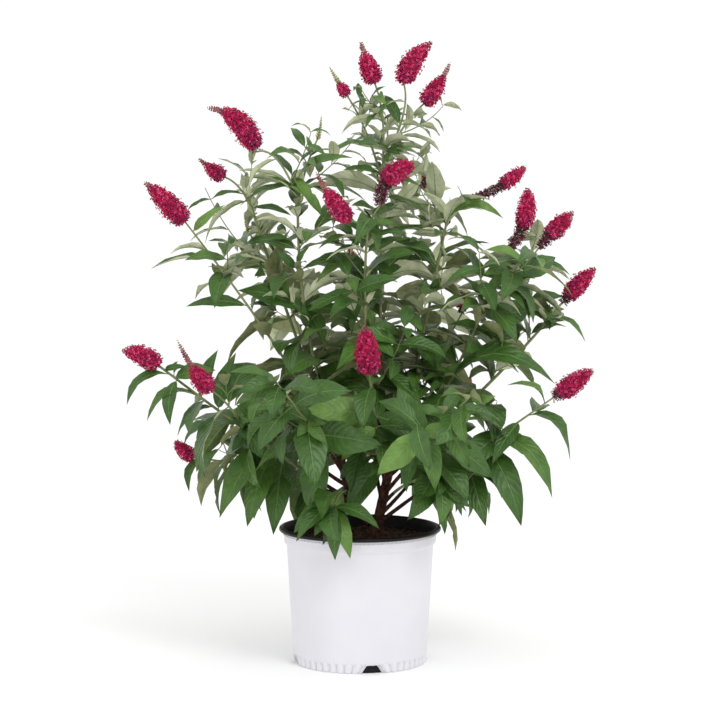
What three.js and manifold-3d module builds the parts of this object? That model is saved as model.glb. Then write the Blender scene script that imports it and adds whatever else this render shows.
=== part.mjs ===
// A potted butterfly bush: a filled nursery pot, a short leaning trunk with a
// second limb beside it, one tapering bough to each shoot, and one mass of
// leaves and flower spikes on every bough.  Millimetres, +Z up, pot centred.
import * as THREE from 'three';
import { mergeVertices } from 'three/addons/utils/BufferGeometryUtils.js';
import Module from 'manifold-3d';

const wasm = await Module();
wasm.setup();

// ---- driving sizes of the pot ---------------------------------------------
const POT_SIDES = 40;
const POT_HEIGHT = 236;
const FOOT_RADIUS = 115;
const FOOT_CHAMFER = 1.5;
const WALL_TOP_RADIUS = 126.8;
const WALL_TOP = 206;
const BAND_RADIUS = 131.4;
const BAND_BOTTOM = 209.5;
const LIP_RADIUS = 140;
const LIP_BOTTOM = 228;
const LIP_INNER_RADIUS = 132.5;
const LIP_EDGE = 2.4;
const LIP_UNDERCUT = 1.2;
const BAND_FLARE = 0.6;
const MOUTH_SLOPE = 3.3;
const WALL_THICK = 2.4;
const FLOOR_THICK = 4;
const FLOOR_RADIUS = 90;
const BEVEL_TOP = 27;
const NOTCH_COUNT = 4;
const NOTCH_FIRST_TURN = 11;
const NOTCH_WIDTH_LOW = 45;
const NOTCH_WIDTH_HIGH = 23;
const NOTCH_HEIGHT = 14.5;
const NOTCH_BACK_RADIUS = 106;
const NOTCH_FRONT_RADIUS = 127;

// ---- driving sizes of the soil and the wood --------------------------------
const GAP = 0.3;
const MERGE_WITHIN = 1e-4;
const TIGHTEST = 0.003;
// Small shifts a piece may take where its corners would nearly meet others.
const NUDGES = [[0, 0, 0], [0.05, 0.03, -0.04], [-0.04, 0.06, 0.05], [0.09, -0.08, 0.07],
  [-0.11, -0.06, -0.09], [0.13, 0.12, 0.1]];
const SOIL_TOP = 217;
const SOIL_EDGE = 214;
const SOIL_MOUND_RADIUS = 70;
const SOIL_SIDES = 20;
const TRUNK_SIDES = 10;
const TRUNK_FOOT = [26, 15, SOIL_TOP + GAP];
const TRUNK_TOP = [56, 12, 357];
const TRUNK_RING_HEIGHTS = [0, 0.06, 0.13, 0.22, 0.5, 0.78, 1];
const TRUNK_RADIUS_LOW = 9.6;
const TRUNK_RADIUS_HIGH = 8.2;
const FLARE_RADIUS = 15.5;
const FLARE_HEIGHT = 26;
const FLARE_LOBES = 4;
const FLARE_HOLLOW = 0.3;
const LIMB_SIDES = 7;
const LIMB_STEPS = 6;
const LIMB_FOOT = [17, 13, 240];
const LIMB_KNEE = [-34, 6, 292];
const LIMB_TOP = [-32, 4, 381];
const LIMB_RADIUS_LOW = 7.2;
const LIMB_RADIUS_HIGH = 6.0;
const BOUGH_SIDES = 5;
const BOUGH_RADIUS_LOW = 4.0;
const BOUGH_RADIUS_HIGH = 2.9;
const BOUGH_STEPS = 4;

// ---- driving sizes of the leaves, twigs and flower spikes ------------------
const STEM_RADIUS_LOW = 2.9;
const STEM_RADIUS_HIGH = 1.5;
const STEM_STEPS = 8;
const FORK_RADIUS_LOW = 2.1;
const FORK_STEPS = 4;
const TWIG_RADIUS = 1.3;
const TWIG_TIP_RADIUS = 0.7;
const TWIG_STEPS = 2;
const TWIG_SIDES = 3;
const TWIG_NECK = 0.3;
const LEAF_WIDTH = 0.42;
const LEAF_THICK = 0.012;
const LEAF_WIDEST = 0.42;
const LEAF_ARCH = 0.13;
const LEAF_EDGE_ARCH = 0.8 * LEAF_ARCH;
const LEAF_FACE_LIFT = 0.6;
const LEAF_FACE_OUT = 0.5;
const CROWN_MIDDLE = 60;
const LEAF_SINK = 0.2;
const LEAF_NECK = 0.14;
const LEAF_LOW = 132;
const LEAF_HIGH = 68;
const LEAF_LOW_Z = 700;
const LEAF_HIGH_Z = 1010;
const SPREAD_LOW = 72;
const SPREAD_HIGH = 68;
const SPREAD_RANGE = 16;
const TURN_RANGE = 36;
const ROLL_RANGE = 46;
const LENGTH_RANGE = 0.36;
const TIP_SHORTER = 0.45;
const DROOP_LOW = 0.9;
const DROOP_HIGH = 0.26;
const DROOP_LOW_Z = 350;
const DROOP_HIGH_Z = 600;
const PITCH_LOW = 50;
const PITCH_HIGH = 42;
// A spike's outline: part of its length, part of its greatest radius.
const SPIKE_ROWS = [[0, 0.3], [0.16, 0.86], [0.36, 1], [0.7, 0.72], [1, 0.1]];
const SPIKE_SINK = 0.05;
const SLIM_SPIKE = 10;
const SHOOT_SEED = 7919;
const FIRST_SEED = 8547;
const TWIG_CHANCE = 0.22;
const TWIG_LENGTH = 1.05;
const TWIG_LIMIT = 0.8;
// A twig's reach, parts of its full length, and where it bends and ends.
const TWIG_SHORTEST = 0.8;
const TWIG_RANGE = 0.5;
const TWIG_KNEE = 0.55;
const TWIG_OUT = 0.85;
const TWIG_RISE = 0.35;
const TWIG_LEAF = 0.72;
const TWIG_PITCH = 0.62;
const TWIG_SPREAD = 0.7;
const FIRST_PAIR = 0.35;
const LAST_PAIR = 0.985;
// The other ways a leaf may settle where its first place is taken:
// more droop, more roll in degrees, and the part of its length it keeps.
const SETTLE = [[0, 0, 1], [0.4, 25, 1], [-0.3, -25, 0.95], [0.1, 50, 0.9], [0.2, 0, 0.72]];
const AXIL_LIFT = 5;
const CLEAR = 0.5;
const LIMB_CLEAR = 2.5;
const TRUNK_ROOM = 11.1;
const POT_CLEAR_RADIUS = 144;
const POT_CLEAR_TOP = 239;
const LOWEST_LEAF = 60;

// ---- the shoots -------------------------------------------------------------
// Each shoot is one bent line: it leaves the trunk or the limb at the given
// part of its height, bends at the knee and ends at the tip.  bough is the
// woody part of the line, spike the point its flower spike ends in, forks the
// lines that leave it farther up (at is the part of the parent line).
const SHOOTS = [
  { name: 'leader', on: 'trunk', at: 1.0, beside: [-4, 3],
    knee: [27, 6, 500], tip: [40, 0, 882], bough: 0.34,
    forks: [
      { at: 0.98, knee: [44, 4, 950], tip: [25, 10, 996], spike: [1, 10, 1067], wide: 20 },
      { at: 0.97, knee: [88, -15, 950], tip: [74, -30, 993], spike: [121, -40, 1063], wide: 21 },
      { at: 0.95, knee: [66, 14, 926], tip: [109, 20, 961], spike: [154, 20, 1032], wide: 18 },
      { at: 0.93, knee: [10, 20, 930], tip: [-22, 30, 975], spike: [-53, 40, 1026], wide: 13 },
      { at: 0.8, knee: [50, 70, 860], tip: [48, 112, 930], wide: 0 },
    ] },
  { name: 'high_left', on: 'limb', at: 1.0, beside: [1, -4],
    knee: [-112, -13, 563], tip: [-105, -30, 816], bough: 0.3,
    forks: [
      { at: 0.97, knee: [-140, -36, 892], tip: [-174, -50, 879], spike: [-256, -70, 952], wide: 23 },
      { at: 0.96, knee: [-92, -14, 860], tip: [-73, 0, 900], spike: [-66, 2, 940], wide: 7 },
    ] },
  { name: 'upper_left', on: 'limb', at: 0.92, beside: [-1, 5],
    knee: [-114, 27, 555], tip: [-192, 50, 797], bough: 0.3,
    forks: [
      { at: 0.96, knee: [-205, 50, 826], tip: [-234, 50, 836], spike: [-280, 60, 869], wide: 16 },
      { at: 0.6, knee: [-170, 90, 690], tip: [-196, 128, 740], wide: 0 },
    ] },
  { name: 'reach_left', on: 'limb', at: 0.8, beside: [-4, -2],
    knee: [-86, -3, 484], tip: [-298, -10, 760], bough: 0.26,
    spike: [-366, -15, 828], wide: 22, forks: [] },
  { name: 'low_left', on: 'limb', at: 0.3, knee: [-123, -23, 345], tip: [-340, -60, 518], bough: 0.3,
    spike: [-400, -65, 544], wide: 20,
    forks: [
      { at: 0.62, knee: [-222, -98, 462], tip: [-249, -120, 483], spike: [-302, -150, 569], wide: 19 },
    ] },
  { name: 'lowest_left', on: 'limb', at: 0.12, knee: [-70, 52, 322], tip: [-288, 32, 350], bough: 0.3,
    spike: [-320, 30, 379], wide: 16, forks: [] },
  { name: 'front_spike', on: 'trunk', at: 0.62, knee: [33, -69, 357], tip: [15, -150, 516], bough: 0.3,
    spike: [9, -185, 593], wide: 24, forks: [] },
  { name: 'front_pair', on: 'trunk', at: 0.88, knee: [-8, -44, 560], tip: [14, -80, 757], bough: 0.26,
    forks: [
      { at: 0.985, knee: [2, -88, 760], tip: [-18, -100, 766], spike: [-73, -130, 846], wide: 19 },
      { at: 0.99, knee: [20, -92, 772], tip: [32, -98, 788], spike: [89, -110, 857], wide: 21 },
    ] },
  { name: 'high_right', on: 'trunk', at: 0.95, beside: [5, 0],
    knee: [102, 21, 521], tip: [151, 30, 768], bough: 0.3,
    forks: [
      { at: 0.97, knee: [160, 30, 795], tip: [189, 30, 800], spike: [285, 35, 855], wide: 15 },
      { at: 0.9, knee: [138, 60, 790], tip: [110, 88, 815], spike: [128, 96, 845], wide: 12 },
    ] },
  { name: 'upper_right', on: 'trunk', at: 0.84, knee: [140, -4, 439], tip: [206, -20, 600], bough: 0.34,
    forks: [
      { at: 0.97, knee: [236, -40, 655], tip: [253, -50, 714], spike: [282, -55, 818], wide: 19 },
      { at: 0.98, knee: [262, -6, 655], tip: [305, 10, 713], spike: [366, 15, 777], wide: 19 },
    ] },
  { name: 'reach_right', on: 'trunk', at: 0.72, knee: [261, 60, 500], tip: [349, 46, 617], bough: 0.34,
    spike: [407, 45, 679], wide: 19,
    forks: [
      { at: 0.5, knee: [230, 120, 480], tip: [262, 165, 520], wide: 0 },
    ] },
  { name: 'low_right', on: 'trunk', at: 0.14, knee: [121, -23, 313], tip: [326, -60, 463], bough: 0.34,
    spike: [393, -65, 512], wide: 20, forks: [] },
  { name: 'skirt_right', on: 'trunk', at: 0.34, knee: [70, -80, 330], tip: [127, -140, 340], bough: 0.3,
    wide: 0, forks: [] },
  { name: 'skirt_left', on: 'limb', at: 0.4, knee: [-30, -95, 325], tip: [-46, -162, 290], bough: 0.3,
    wide: 0, forks: [] },
  { name: 'mid_right', on: 'trunk', at: 0.76, beside: [4, 2],
    knee: [90, 70, 440], tip: [178, 92, 596], bough: 0.3,
    spike: [176, 92, 640], wide: 15, forks: [] },
  { name: 'front_left', on: 'limb', at: 0.66,
    knee: [-64, -120, 400], tip: [-134, -255, 508], bough: 0.3,
    wide: 0, forks: [] },
  { name: 'front_right', on: 'trunk', at: 0.5,
    knee: [100, -125, 380], tip: [176, -262, 486], bough: 0.3,
    wide: 0, forks: [] },
  { name: 'back_low_left', on: 'limb', at: 0.52,
    knee: [-90, 116, 325], tip: [-186, 262, 424], bough: 0.3,
    spike: [-208, 318, 462], wide: 19, forks: [] },
  { name: 'back_mid_left', on: 'limb', at: 0.74,
    knee: [-80, 130, 480], tip: [-152, 268, 672], bough: 0.28,
    wide: 0, forks: [] },
  { name: 'back_low', on: 'trunk', at: 0.42, knee: [20, 160, 330], tip: [12, 318, 478], bough: 0.28,
    spike: [8, 362, 540], wide: 20, forks: [] },
  { name: 'back_mid', on: 'trunk', at: 0.68, knee: [20, 120, 520], tip: [-12, 232, 650], bough: 0.28,
    spike: [-18, 266, 712], wide: 19, forks: [] },
  { name: 'back_mid_right', on: 'trunk', at: 0.92, beside: [0, 5],
    knee: [90, 140, 470], tip: [140, 276, 656], bough: 0.28,
    wide: 0, forks: [] },
  { name: 'back_low_right', on: 'trunk', at: 0.24,
    knee: [110, 150, 300], tip: [184, 262, 420], bough: 0.3,
    spike: [204, 316, 464], wide: 19, forks: [] },
];

// Openings right through the crown, as a viewer in front of it sees them: x and
// z at the crown's middle and a radius.  No leaf or side twig grows across one.
const OPENINGS = [
  [125, 1030, 15], [-145, 955, 40], [-40, 930, 20], [-150, 915, 20], [-255, 905, 20], [185, 900, 40],
  [220, 870, 35], [-300, 830, 35], [190, 830, 20], [330, 790, 20], [255, 785, 20], [255, 755, 15],
  [210, 755, 20], [-210, 750, 15], [235, 740, 15], [365, 705, 30], [-315, 655, 35], [320, 655, 15],
  [-200, 590, 20], [-230, 585, 25], [-350, 580, 40], [-275, 580, 35], [300, 545, 20], [-180, 540, 15],
  [345, 540, 35], [220, 485, 15], [-360, 465, 15], [255, 465, 20], [-345, 410, 25], [315, 395, 20],
  [250, 365, 15], [270, 345, 20], [285, 320, 20], [50, 310, 20], [40, 275, 15], [75, 275, 15],
  [-205, 265, 15], [120, 255, 15],
];
const VIEWER_AWAY = 4000;
const VIEWER_HEIGHT = 860;

// ---- small vector helpers ---------------------------------------------------
const vec = (a) => new THREE.Vector3(a[0], a[1], a[2]);
const mix = (a, b, t) => a + (b - a) * t;
const clamp01 = (t) => Math.min(1, Math.max(0, t));
const degrees = (a) => (a * Math.PI) / 180;
const UP = new THREE.Vector3(0, 0, 1);
const LENGTH_STEPS = 16;

/** A seeded run of even random numbers between 0 and 1. */
function dice(seed) {
  let state = seed >>> 0;
  return () => {
    state = (Math.imul(state, 1664525) + 1013904223) >>> 0;
    return state / 4294967296;
  };
}

/** A line bent once: a curve from start to end, drawn towards its knee.
 *  Its side is the one direction that is square to it all along. */
function bentLine(start, knee, end) {
  const line = new THREE.QuadraticBezierCurve3(vec(start), vec(knee), vec(end));
  line.arcLengthDivisions = LENGTH_STEPS;
  line.length = line.getLength();
  const first = line.v1.clone().sub(line.v0);
  line.side = new THREE.Vector3().crossVectors(first, line.v2.clone().sub(line.v1));
  if (line.side.length() < 1) {
    line.side.crossVectors(line.v2.clone().sub(line.v0), new THREE.Vector3(0.3, 1, 0));
  }
  line.side.normalize();
  return line;
}

const pointOn = (line, t) => line.getPoint(t);
const headingOn = (line, t) => {
  const d = line.v1.clone().sub(line.v0).multiplyScalar(1 - t);
  return d.addScaledVector(line.v2.clone().sub(line.v1), t).normalize();
};

// ---- solids -----------------------------------------------------------------
/** A closed geometry as a solid that can be joined and cut. */
function solidOf(geometry) {
  const bare = new THREE.BufferGeometry();
  bare.setAttribute('position', geometry.getAttribute('position'));
  bare.setIndex(geometry.getIndex());
  const merged = mergeVertices(bare, MERGE_WITHIN);
  const vertProperties = new Float32Array(merged.getAttribute('position').array);
  const triVerts = new Uint32Array(merged.getIndex().array);
  return new wasm.Manifold(new wasm.Mesh({ numProp: 3, vertProperties, triVerts }));
}

/** One closed skin from its corner points and triangles. */
function skin(points, faces) {
  return new THREE.BufferGeometry().setFromPoints(points).setIndex(faces.flat());
}

/** Faces of a skin over rings of equal size, closed flat at both ends. */
function ringFaces(rings, sides) {
  const faces = [];
  for (let i = 0; i < rings - 1; i += 1) {
    for (let k = 0; k < sides; k += 1) {
      const a = i * sides + k;
      const b = i * sides + ((k + 1) % sides);
      faces.push([a, b, b + sides], [a, b + sides, a + sides]);
    }
  }
  const last = (rings - 1) * sides;
  for (let k = 1; k < sides - 1; k += 1) {
    faces.push([0, k + 1, k], [last, last + k, last + k + 1]);
  }
  return faces;
}

/** The corner points of a tapering tube along part of a bent line. */
function tubeCorners(line, from, to, radiusLow, radiusHigh, sides, steps) {
  const points = [];
  for (let i = 0; i <= steps; i += 1) {
    const t = mix(from, to, i / steps);
    const centre = pointOn(line, t);
    const across = new THREE.Vector3().crossVectors(headingOn(line, t), line.side);
    const radius = mix(radiusLow, radiusHigh, i / steps);
    for (let k = 0; k < sides; k += 1) {
      const turn = (2 * Math.PI * k) / sides;
      const p = centre.clone().addScaledVector(line.side, radius * Math.cos(turn));
      points.push(p.addScaledVector(across, radius * Math.sin(turn)));
    }
  }
  return points;
}

function tube(line, from, to, radiusLow, radiusHigh, sides, steps) {
  const points = tubeCorners(line, from, to, radiusLow, radiusHigh, sides, steps);
  return skin(points, ringFaces(steps + 1, sides));
}

/** A solid turned about the upright axis from radius and height pairs. */
function turned(profile, sides) {
  const outline = profile.map(([radius, z]) => new THREE.Vector2(radius, z));
  const geometry = new THREE.LatheGeometry(outline, sides);
  geometry.rotateX(Math.PI / 2);
  return solidOf(geometry);
}

/** The four-sided wedge that opens one drainage notch in the foot. */
function notchCutter(turnDegrees) {
  const corners = [];
  for (const radius of [NOTCH_BACK_RADIUS, NOTCH_FRONT_RADIUS]) {
    for (const [half, z] of [[NOTCH_WIDTH_LOW / 2, -1], [NOTCH_WIDTH_HIGH / 2, NOTCH_HEIGHT]]) {
      corners.push([radius, -half, z], [radius, half, z]);
    }
  }
  const turn = degrees(turnDegrees - 90);
  const points = corners.map((c) => vec(c).applyAxisAngle(UP, turn));
  const faces = [[0, 3, 1], [0, 2, 3], [4, 5, 7], [4, 7, 6], [0, 1, 5], [0, 5, 4],
    [2, 7, 3], [2, 6, 7], [0, 6, 2], [0, 4, 6], [1, 3, 7], [1, 7, 5]];
  return solidOf(skin(points, faces));
}

/** The radius of the wall's inside at a height above the bevel. */
function insideRadius(z) {
  const slope = (WALL_TOP_RADIUS - FOOT_RADIUS) / WALL_TOP;
  return FOOT_RADIUS + slope * z - WALL_THICK;
}

function makePot() {
  const profile = [
    [0, 0],
    [FOOT_RADIUS - FOOT_CHAMFER, 0],
    [FOOT_RADIUS, FOOT_CHAMFER],
    [WALL_TOP_RADIUS, WALL_TOP],
    [BAND_RADIUS, BAND_BOTTOM],
    [BAND_RADIUS + BAND_FLARE, LIP_BOTTOM - BAND_FLARE],
    [LIP_RADIUS - LIP_UNDERCUT, LIP_BOTTOM],
    [LIP_RADIUS, LIP_BOTTOM + LIP_EDGE],
    [LIP_RADIUS, POT_HEIGHT - LIP_EDGE],
    [LIP_RADIUS - LIP_EDGE, POT_HEIGHT],
    [LIP_INNER_RADIUS, POT_HEIGHT],
    [LIP_INNER_RADIUS - MOUTH_SLOPE, POT_HEIGHT - MOUTH_SLOPE],
    [BAND_RADIUS - WALL_THICK, BAND_BOTTOM + WALL_THICK],
    [insideRadius(WALL_TOP), WALL_TOP],
    [insideRadius(BEVEL_TOP), BEVEL_TOP],
    [FLOOR_RADIUS, FLOOR_THICK],
    [0, FLOOR_THICK],
  ];
  let pot = turned(profile, POT_SIDES);
  for (let i = 0; i < NOTCH_COUNT; i += 1) {
    pot = pot.subtract(notchCutter(NOTCH_FIRST_TURN + (360 / NOTCH_COUNT) * i));
  }
  return pot;
}

function makeSoil() {
  const clear = GAP + 0.1;
  const profile = [
    [0, FLOOR_THICK + GAP],
    [FLOOR_RADIUS - clear, FLOOR_THICK + GAP],
    [insideRadius(BEVEL_TOP) - clear, BEVEL_TOP],
    [insideRadius(WALL_TOP) - clear, WALL_TOP],
    [BAND_RADIUS - WALL_THICK - 2 * clear, SOIL_EDGE],
    [SOIL_MOUND_RADIUS, SOIL_TOP],
    [0, SOIL_TOP],
  ];
  return turned(profile, SOIL_SIDES);
}

/** The radius of the trunk at part t of its height, toward one side. */
function trunkRadius(t, turn) {
  const plain = mix(TRUNK_RADIUS_LOW, TRUNK_RADIUS_HIGH, t);
  const height = t * (TRUNK_TOP[2] - TRUNK_FOOT[2]);
  const flare = clamp01(1 - height / FLARE_HEIGHT) ** 2;
  const lobe = 1 - FLARE_HOLLOW + FLARE_HOLLOW * Math.cos(FLARE_LOBES * turn);
  return plain + (FLARE_RADIUS - TRUNK_RADIUS_LOW) * flare * lobe;
}

/** How far corners go out when the flats of a round of sides go out by extra. */
const cornerGrowth = (extra, sides) => extra / Math.cos(Math.PI / sides);

/** The trunk, grown all round by extra, in level rings from its flat foot. */
function makeTrunk(extra) {
  const foot = vec(TRUNK_FOOT);
  const top = vec(TRUNK_TOP);
  const points = [];
  TRUNK_RING_HEIGHTS.forEach((t) => {
    const centre = foot.clone().lerp(top, t);
    centre.z += extra * (2 * t - 1);
    for (let k = 0; k < TRUNK_SIDES; k += 1) {
      const turn = (2 * Math.PI * k) / TRUNK_SIDES;
      const radius = trunkRadius(t, turn) + cornerGrowth(extra, TRUNK_SIDES);
      const arm = new THREE.Vector3(Math.cos(turn), Math.sin(turn), 0);
      points.push(centre.clone().addScaledVector(arm, radius));
    }
  });
  return solidOf(skin(points, ringFaces(TRUNK_RING_HEIGHTS.length, TRUNK_SIDES)));
}

const limbLine = bentLine(LIMB_FOOT, LIMB_KNEE, LIMB_TOP);

/** The second limb, grown all round by extra. */
function limbTube(extra) {
  const past = extra / limbLine.length;
  const low = LIMB_RADIUS_LOW + cornerGrowth(extra, LIMB_SIDES);
  const high = LIMB_RADIUS_HIGH + cornerGrowth(extra, LIMB_SIDES);
  return solidOf(tube(limbLine, 0, 1 + past, low, high, LIMB_SIDES, LIMB_STEPS));
}

// ---- the shoots' lines and the space each keeps to ---------------------------
/** The point a shoot leaves from: on the trunk's or the limb's middle line,
 *  or a little beside it where two shoots leave close together. */
function rootPoint(shoot) {
  const [dx, dy] = shoot.beside || [0, 0];
  const p = shoot.on === 'limb'
    ? pointOn(limbLine, shoot.at)
    : vec(TRUNK_FOOT).lerp(vec(TRUNK_TOP), shoot.at);
  return [p.x + dx, p.y + dy, p.z];
}

/** Every line of a shoot: the main stem first, then its forks. */
function shootLines(shoot) {
  const main = bentLine(rootPoint(shoot), shoot.knee, shoot.tip);
  const high = shoot.forks.length ? FORK_RADIUS_LOW : STEM_RADIUS_HIGH;
  const stem = { line: main, from: shoot.bough, steps: STEM_STEPS, low: STEM_RADIUS_LOW, high };
  const lines = [{ ...stem, spike: shoot.spike, wide: shoot.wide }];
  for (const fork of shoot.forks) {
    const line = bentLine(pointOn(main, fork.at).toArray(), fork.knee, fork.tip);
    const branch = { line, from: 0, steps: FORK_STEPS, low: FORK_RADIUS_LOW, high: STEM_RADIUS_HIGH };
    lines.push({ ...branch, spike: fork.spike, wide: fork.wide });
  }
  return lines;
}

/** The middle of a stem's own straight-sided tube at part t of its line. */
function heartOf(part, t) {
  const place = (part.steps * (t - part.from)) / (1 - part.from);
  const step = Math.min(part.steps - 1, Math.max(0, Math.floor(place)));
  const low = pointOn(part.line, mix(part.from, 1, step / part.steps));
  const high = pointOn(part.line, mix(part.from, 1, (step + 1) / part.steps));
  return low.lerp(high, place - step);
}

/** The straight pieces a bent line is measured by, each with a radius. */
function pieces(line, from, to, radius, steps) {
  const list = [];
  for (let i = 0; i < steps; i += 1) {
    const a = pointOn(line, mix(from, to, i / steps));
    const b = pointOn(line, mix(from, to, (i + 1) / steps));
    list.push({ a, b, radius });
  }
  return list;
}

/** How far a point lies outside the skin of a round piece. */
function outside(piece, p) {
  const along = piece.b.clone().sub(piece.a);
  const reach = p.clone().sub(piece.a);
  const t = clamp01(reach.dot(along) / along.lengthSq());
  return reach.addScaledVector(along, -t).length() - piece.radius;
}

/** A convex block with flat faces: its corners, face normals and edge ways. */
function block(corners, faces, edges) {
  const normals = faces.map(([i, j, k]) => {
    const first = corners[j].clone().sub(corners[i]);
    return first.cross(corners[k].clone().sub(corners[i])).normalize();
  });
  const ways = edges.map(([i, j]) => corners[j].clone().sub(corners[i]).normalize());
  const middle = corners.reduce((sum, c) => sum.add(c), new THREE.Vector3());
  middle.multiplyScalar(1 / corners.length);
  const reach = Math.max(...corners.map((c) => c.distanceTo(middle)));
  return { corners, normals, ways, middle, reach };
}

/** The gap two blocks leave along one direction, negative where they mix. */
function gapAlong(way, one, two) {
  const a = one.corners.map((c) => c.dot(way));
  const b = two.corners.map((c) => c.dot(way));
  return Math.max(Math.min(...a) - Math.max(...b), Math.min(...b) - Math.max(...a));
}

/** Whether a flat plane fits between two blocks with the gap to spare. */
function apart(one, two, gap) {
  if (one.middle.distanceTo(two.middle) > one.reach + two.reach + gap) return true;
  if (one.normals.some((way) => gapAlong(way, one, two) >= gap)) return true;
  if (two.normals.some((way) => gapAlong(way, one, two) >= gap)) return true;
  return one.ways.some((a) => two.ways.some((b) => {
    const way = new THREE.Vector3().crossVectors(a, b);
    return way.length() > 1e-4 && gapAlong(way.normalize(), one, two) >= gap;
  }));
}

/** The straight-sided blocks that the tube along a line is made of. */
function tubeBlocks(line, from, to, low, high, sides, steps) {
  const corners = tubeCorners(line, from, to, low, high, sides, steps);
  const faces = [[0, 2, 1], [sides, sides + 1, sides + 2]];
  const edges = [];
  for (let k = 0; k < sides; k += 1) {
    const next = (k + 1) % sides;
    faces.push([k, next, sides + next]);
    edges.push([k, next], [k, k + sides]);
  }
  const blocks = [];
  for (let i = 0; i < steps; i += 1) {
    blocks.push(block(corners.slice(i * sides, (i + 2) * sides), faces, edges));
  }
  return blocks;
}

const stemBlocks = (part) =>
  tubeBlocks(part.line, part.from, 1, part.low, part.high, TWIG_SIDES, part.steps);

/** A shoot with its lines, the blocks of its stems and its round pieces. */
function plantOf(shoot, index) {
  const lines = shootLines(shoot);
  const size = [BOUGH_RADIUS_LOW, BOUGH_RADIUS_HIGH, BOUGH_SIDES, BOUGH_STEPS];
  const wood = tubeBlocks(lines[0].line, 0, shoot.bough, ...size);
  const spikes = lines.filter((part) => part.spike);
  const round = spikes.map((part) => ({ a: part.line.v2, b: vec(part.spike), radius: part.wide }));
  const stems = lines.flatMap(stemBlocks);
  return { shoot, index, lines, wood, round, stems, leaves: [], twigs: [] };
}

const plants = SHOOTS.map(plantOf);
const heartwood = [
  { a: vec(TRUNK_FOOT), b: vec(TRUNK_TOP), radius: TRUNK_ROOM },
  ...pieces(limbLine, 0, 1, LIMB_RADIUS_LOW, LIMB_STEPS),
];

/** Whether a point leaves every opening of the crown free for the viewer. */
function leavesOpenings(p) {
  const nearer = VIEWER_AWAY / (VIEWER_AWAY + p.y);
  const x = p.x * nearer;
  const z = VIEWER_HEIGHT + (p.z - VIEWER_HEIGHT) * nearer;
  return OPENINGS.every(([ox, oz, radius]) => Math.hypot(x - ox, z - oz) >= radius);
}

/** Whether points keep clear of openings, pot, trunk, limb and flower spikes. */
function clearOfLimbs(points) {
  return points.every((p) => {
    if (p.z < LOWEST_LEAF || !leavesOpenings(p)) return false;
    if (p.z < POT_CLEAR_TOP && Math.hypot(p.x, p.y) < POT_CLEAR_RADIUS) return false;
    if (heartwood.some((piece) => outside(piece, p) < LIMB_CLEAR)) return false;
    const far = (piece) => outside(piece, p) >= LIMB_CLEAR;
    return plants.every((plant) => plant.round.every(far));
  });
}

/** Whether a block keeps clear of everything that already grows.  Inside its
 *  own mass it may be rooted, so there the narrower body is what counts. */
function clearOfGrowth(owner, full, body) {
  return plants.every((plant) => {
    const mine = plant === owner;
    const shape = mine ? body : full;
    const gap = mine ? 0 : CLEAR;
    const free = (other) => apart(shape, other, gap);
    if (!plant.wood.every((other) => apart(full, other, CLEAR))) return false;
    if (!plant.stems.every(free)) return false;
    if (!plant.twigs.every((twig) => (mine ? twig.body : twig.full).every(free))) return false;
    return plant.leaves.every((leaf) => apart(shape, mine ? leaf.body : leaf.full, gap));
  });
}

// ---- growth -------------------------------------------------------------------
/** How high a point sits in the crown: 0 low down, 1 at the top. */
const crownHeight = (z) => clamp01((z - LEAF_LOW_Z) / (LEAF_HIGH_Z - LEAF_LOW_Z));

/** The way a leaf or twig leaves its stem at part t, turned about the stem. */
function leaving(line, t, turn, spread) {
  const heading = headingOn(line, t);
  const across = new THREE.Vector3().crossVectors(heading, line.side);
  const out = line.side.clone().multiplyScalar(Math.cos(turn));
  out.addScaledVector(across, Math.sin(turn));
  return heading.multiplyScalar(Math.cos(spread)).addScaledVector(out, Math.sin(spread));
}

/** The level way out from the crown's middle, shorter where that is near. */
function outward(p) {
  return new THREE.Vector3(p.x, p.y, 0).divideScalar(Math.max(Math.hypot(p.x, p.y), CROWN_MIDDLE));
}

/** A leaf with more droop and roll, and part of its length.  Its face looks
 *  along the stem, up, and out of the crown to the light. */
function settled(leaf, moreDroop, moreRoll, part) {
  const chord = leaf.way.clone().addScaledVector(UP, -leaf.droop - moreDroop).normalize();
  const face = leaf.heading.clone().addScaledVector(UP, LEAF_FACE_LIFT);
  face.addScaledVector(outward(leaf.root), LEAF_FACE_OUT);
  face.addScaledVector(chord, -face.dot(chord)).normalize();
  face.applyAxisAngle(chord, leaf.roll + degrees(moreRoll));
  const side = new THREE.Vector3().crossVectors(chord, face);
  return { ...leaf, chord, face, side, length: leaf.length * part };
}

/** A point of a leaf: part u along it, part v across it, lifted by h. */
function onLeaf(leaf, u, v, h) {
  const p = leaf.root.clone().addScaledVector(leaf.chord, u * leaf.length);
  p.addScaledVector(leaf.side, (v * LEAF_WIDTH * leaf.length) / 2);
  return p.addScaledVector(leaf.face, h * leaf.length);
}

const LEAF_FACES = [[0, 2, 4], [0, 4, 3], [0, 3, 2], [1, 4, 2], [1, 3, 4], [1, 2, 3]];
const LEAF_EDGES = [[0, 1], [0, 2], [0, 3], [0, 4], [1, 2], [1, 3], [1, 4], [2, 4], [4, 3], [3, 2]];
const LEAF_PROBES = [[0.25, 0.6], [0.25, -0.6], [0.25, 0], [0.6, 0.7], [0.6, -0.7],
  [0.6, 0], [0.8, 0.33], [0.8, -0.33], [0.16, 0]];

/** The five corners of a leaf, its root at the given part of its length. */
function leafCorners(leaf, from) {
  const rise = from * (LEAF_ARCH / LEAF_WIDEST);
  return [
    onLeaf(leaf, from, 0, from > 0 ? rise : 0),
    onLeaf(leaf, 1, 0, 0),
    onLeaf(leaf, LEAF_WIDEST, 1, LEAF_EDGE_ARCH),
    onLeaf(leaf, LEAF_WIDEST, -1, LEAF_EDGE_ARCH),
    onLeaf(leaf, LEAF_WIDEST, 0, LEAF_ARCH + LEAF_THICK),
  ];
}

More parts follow.
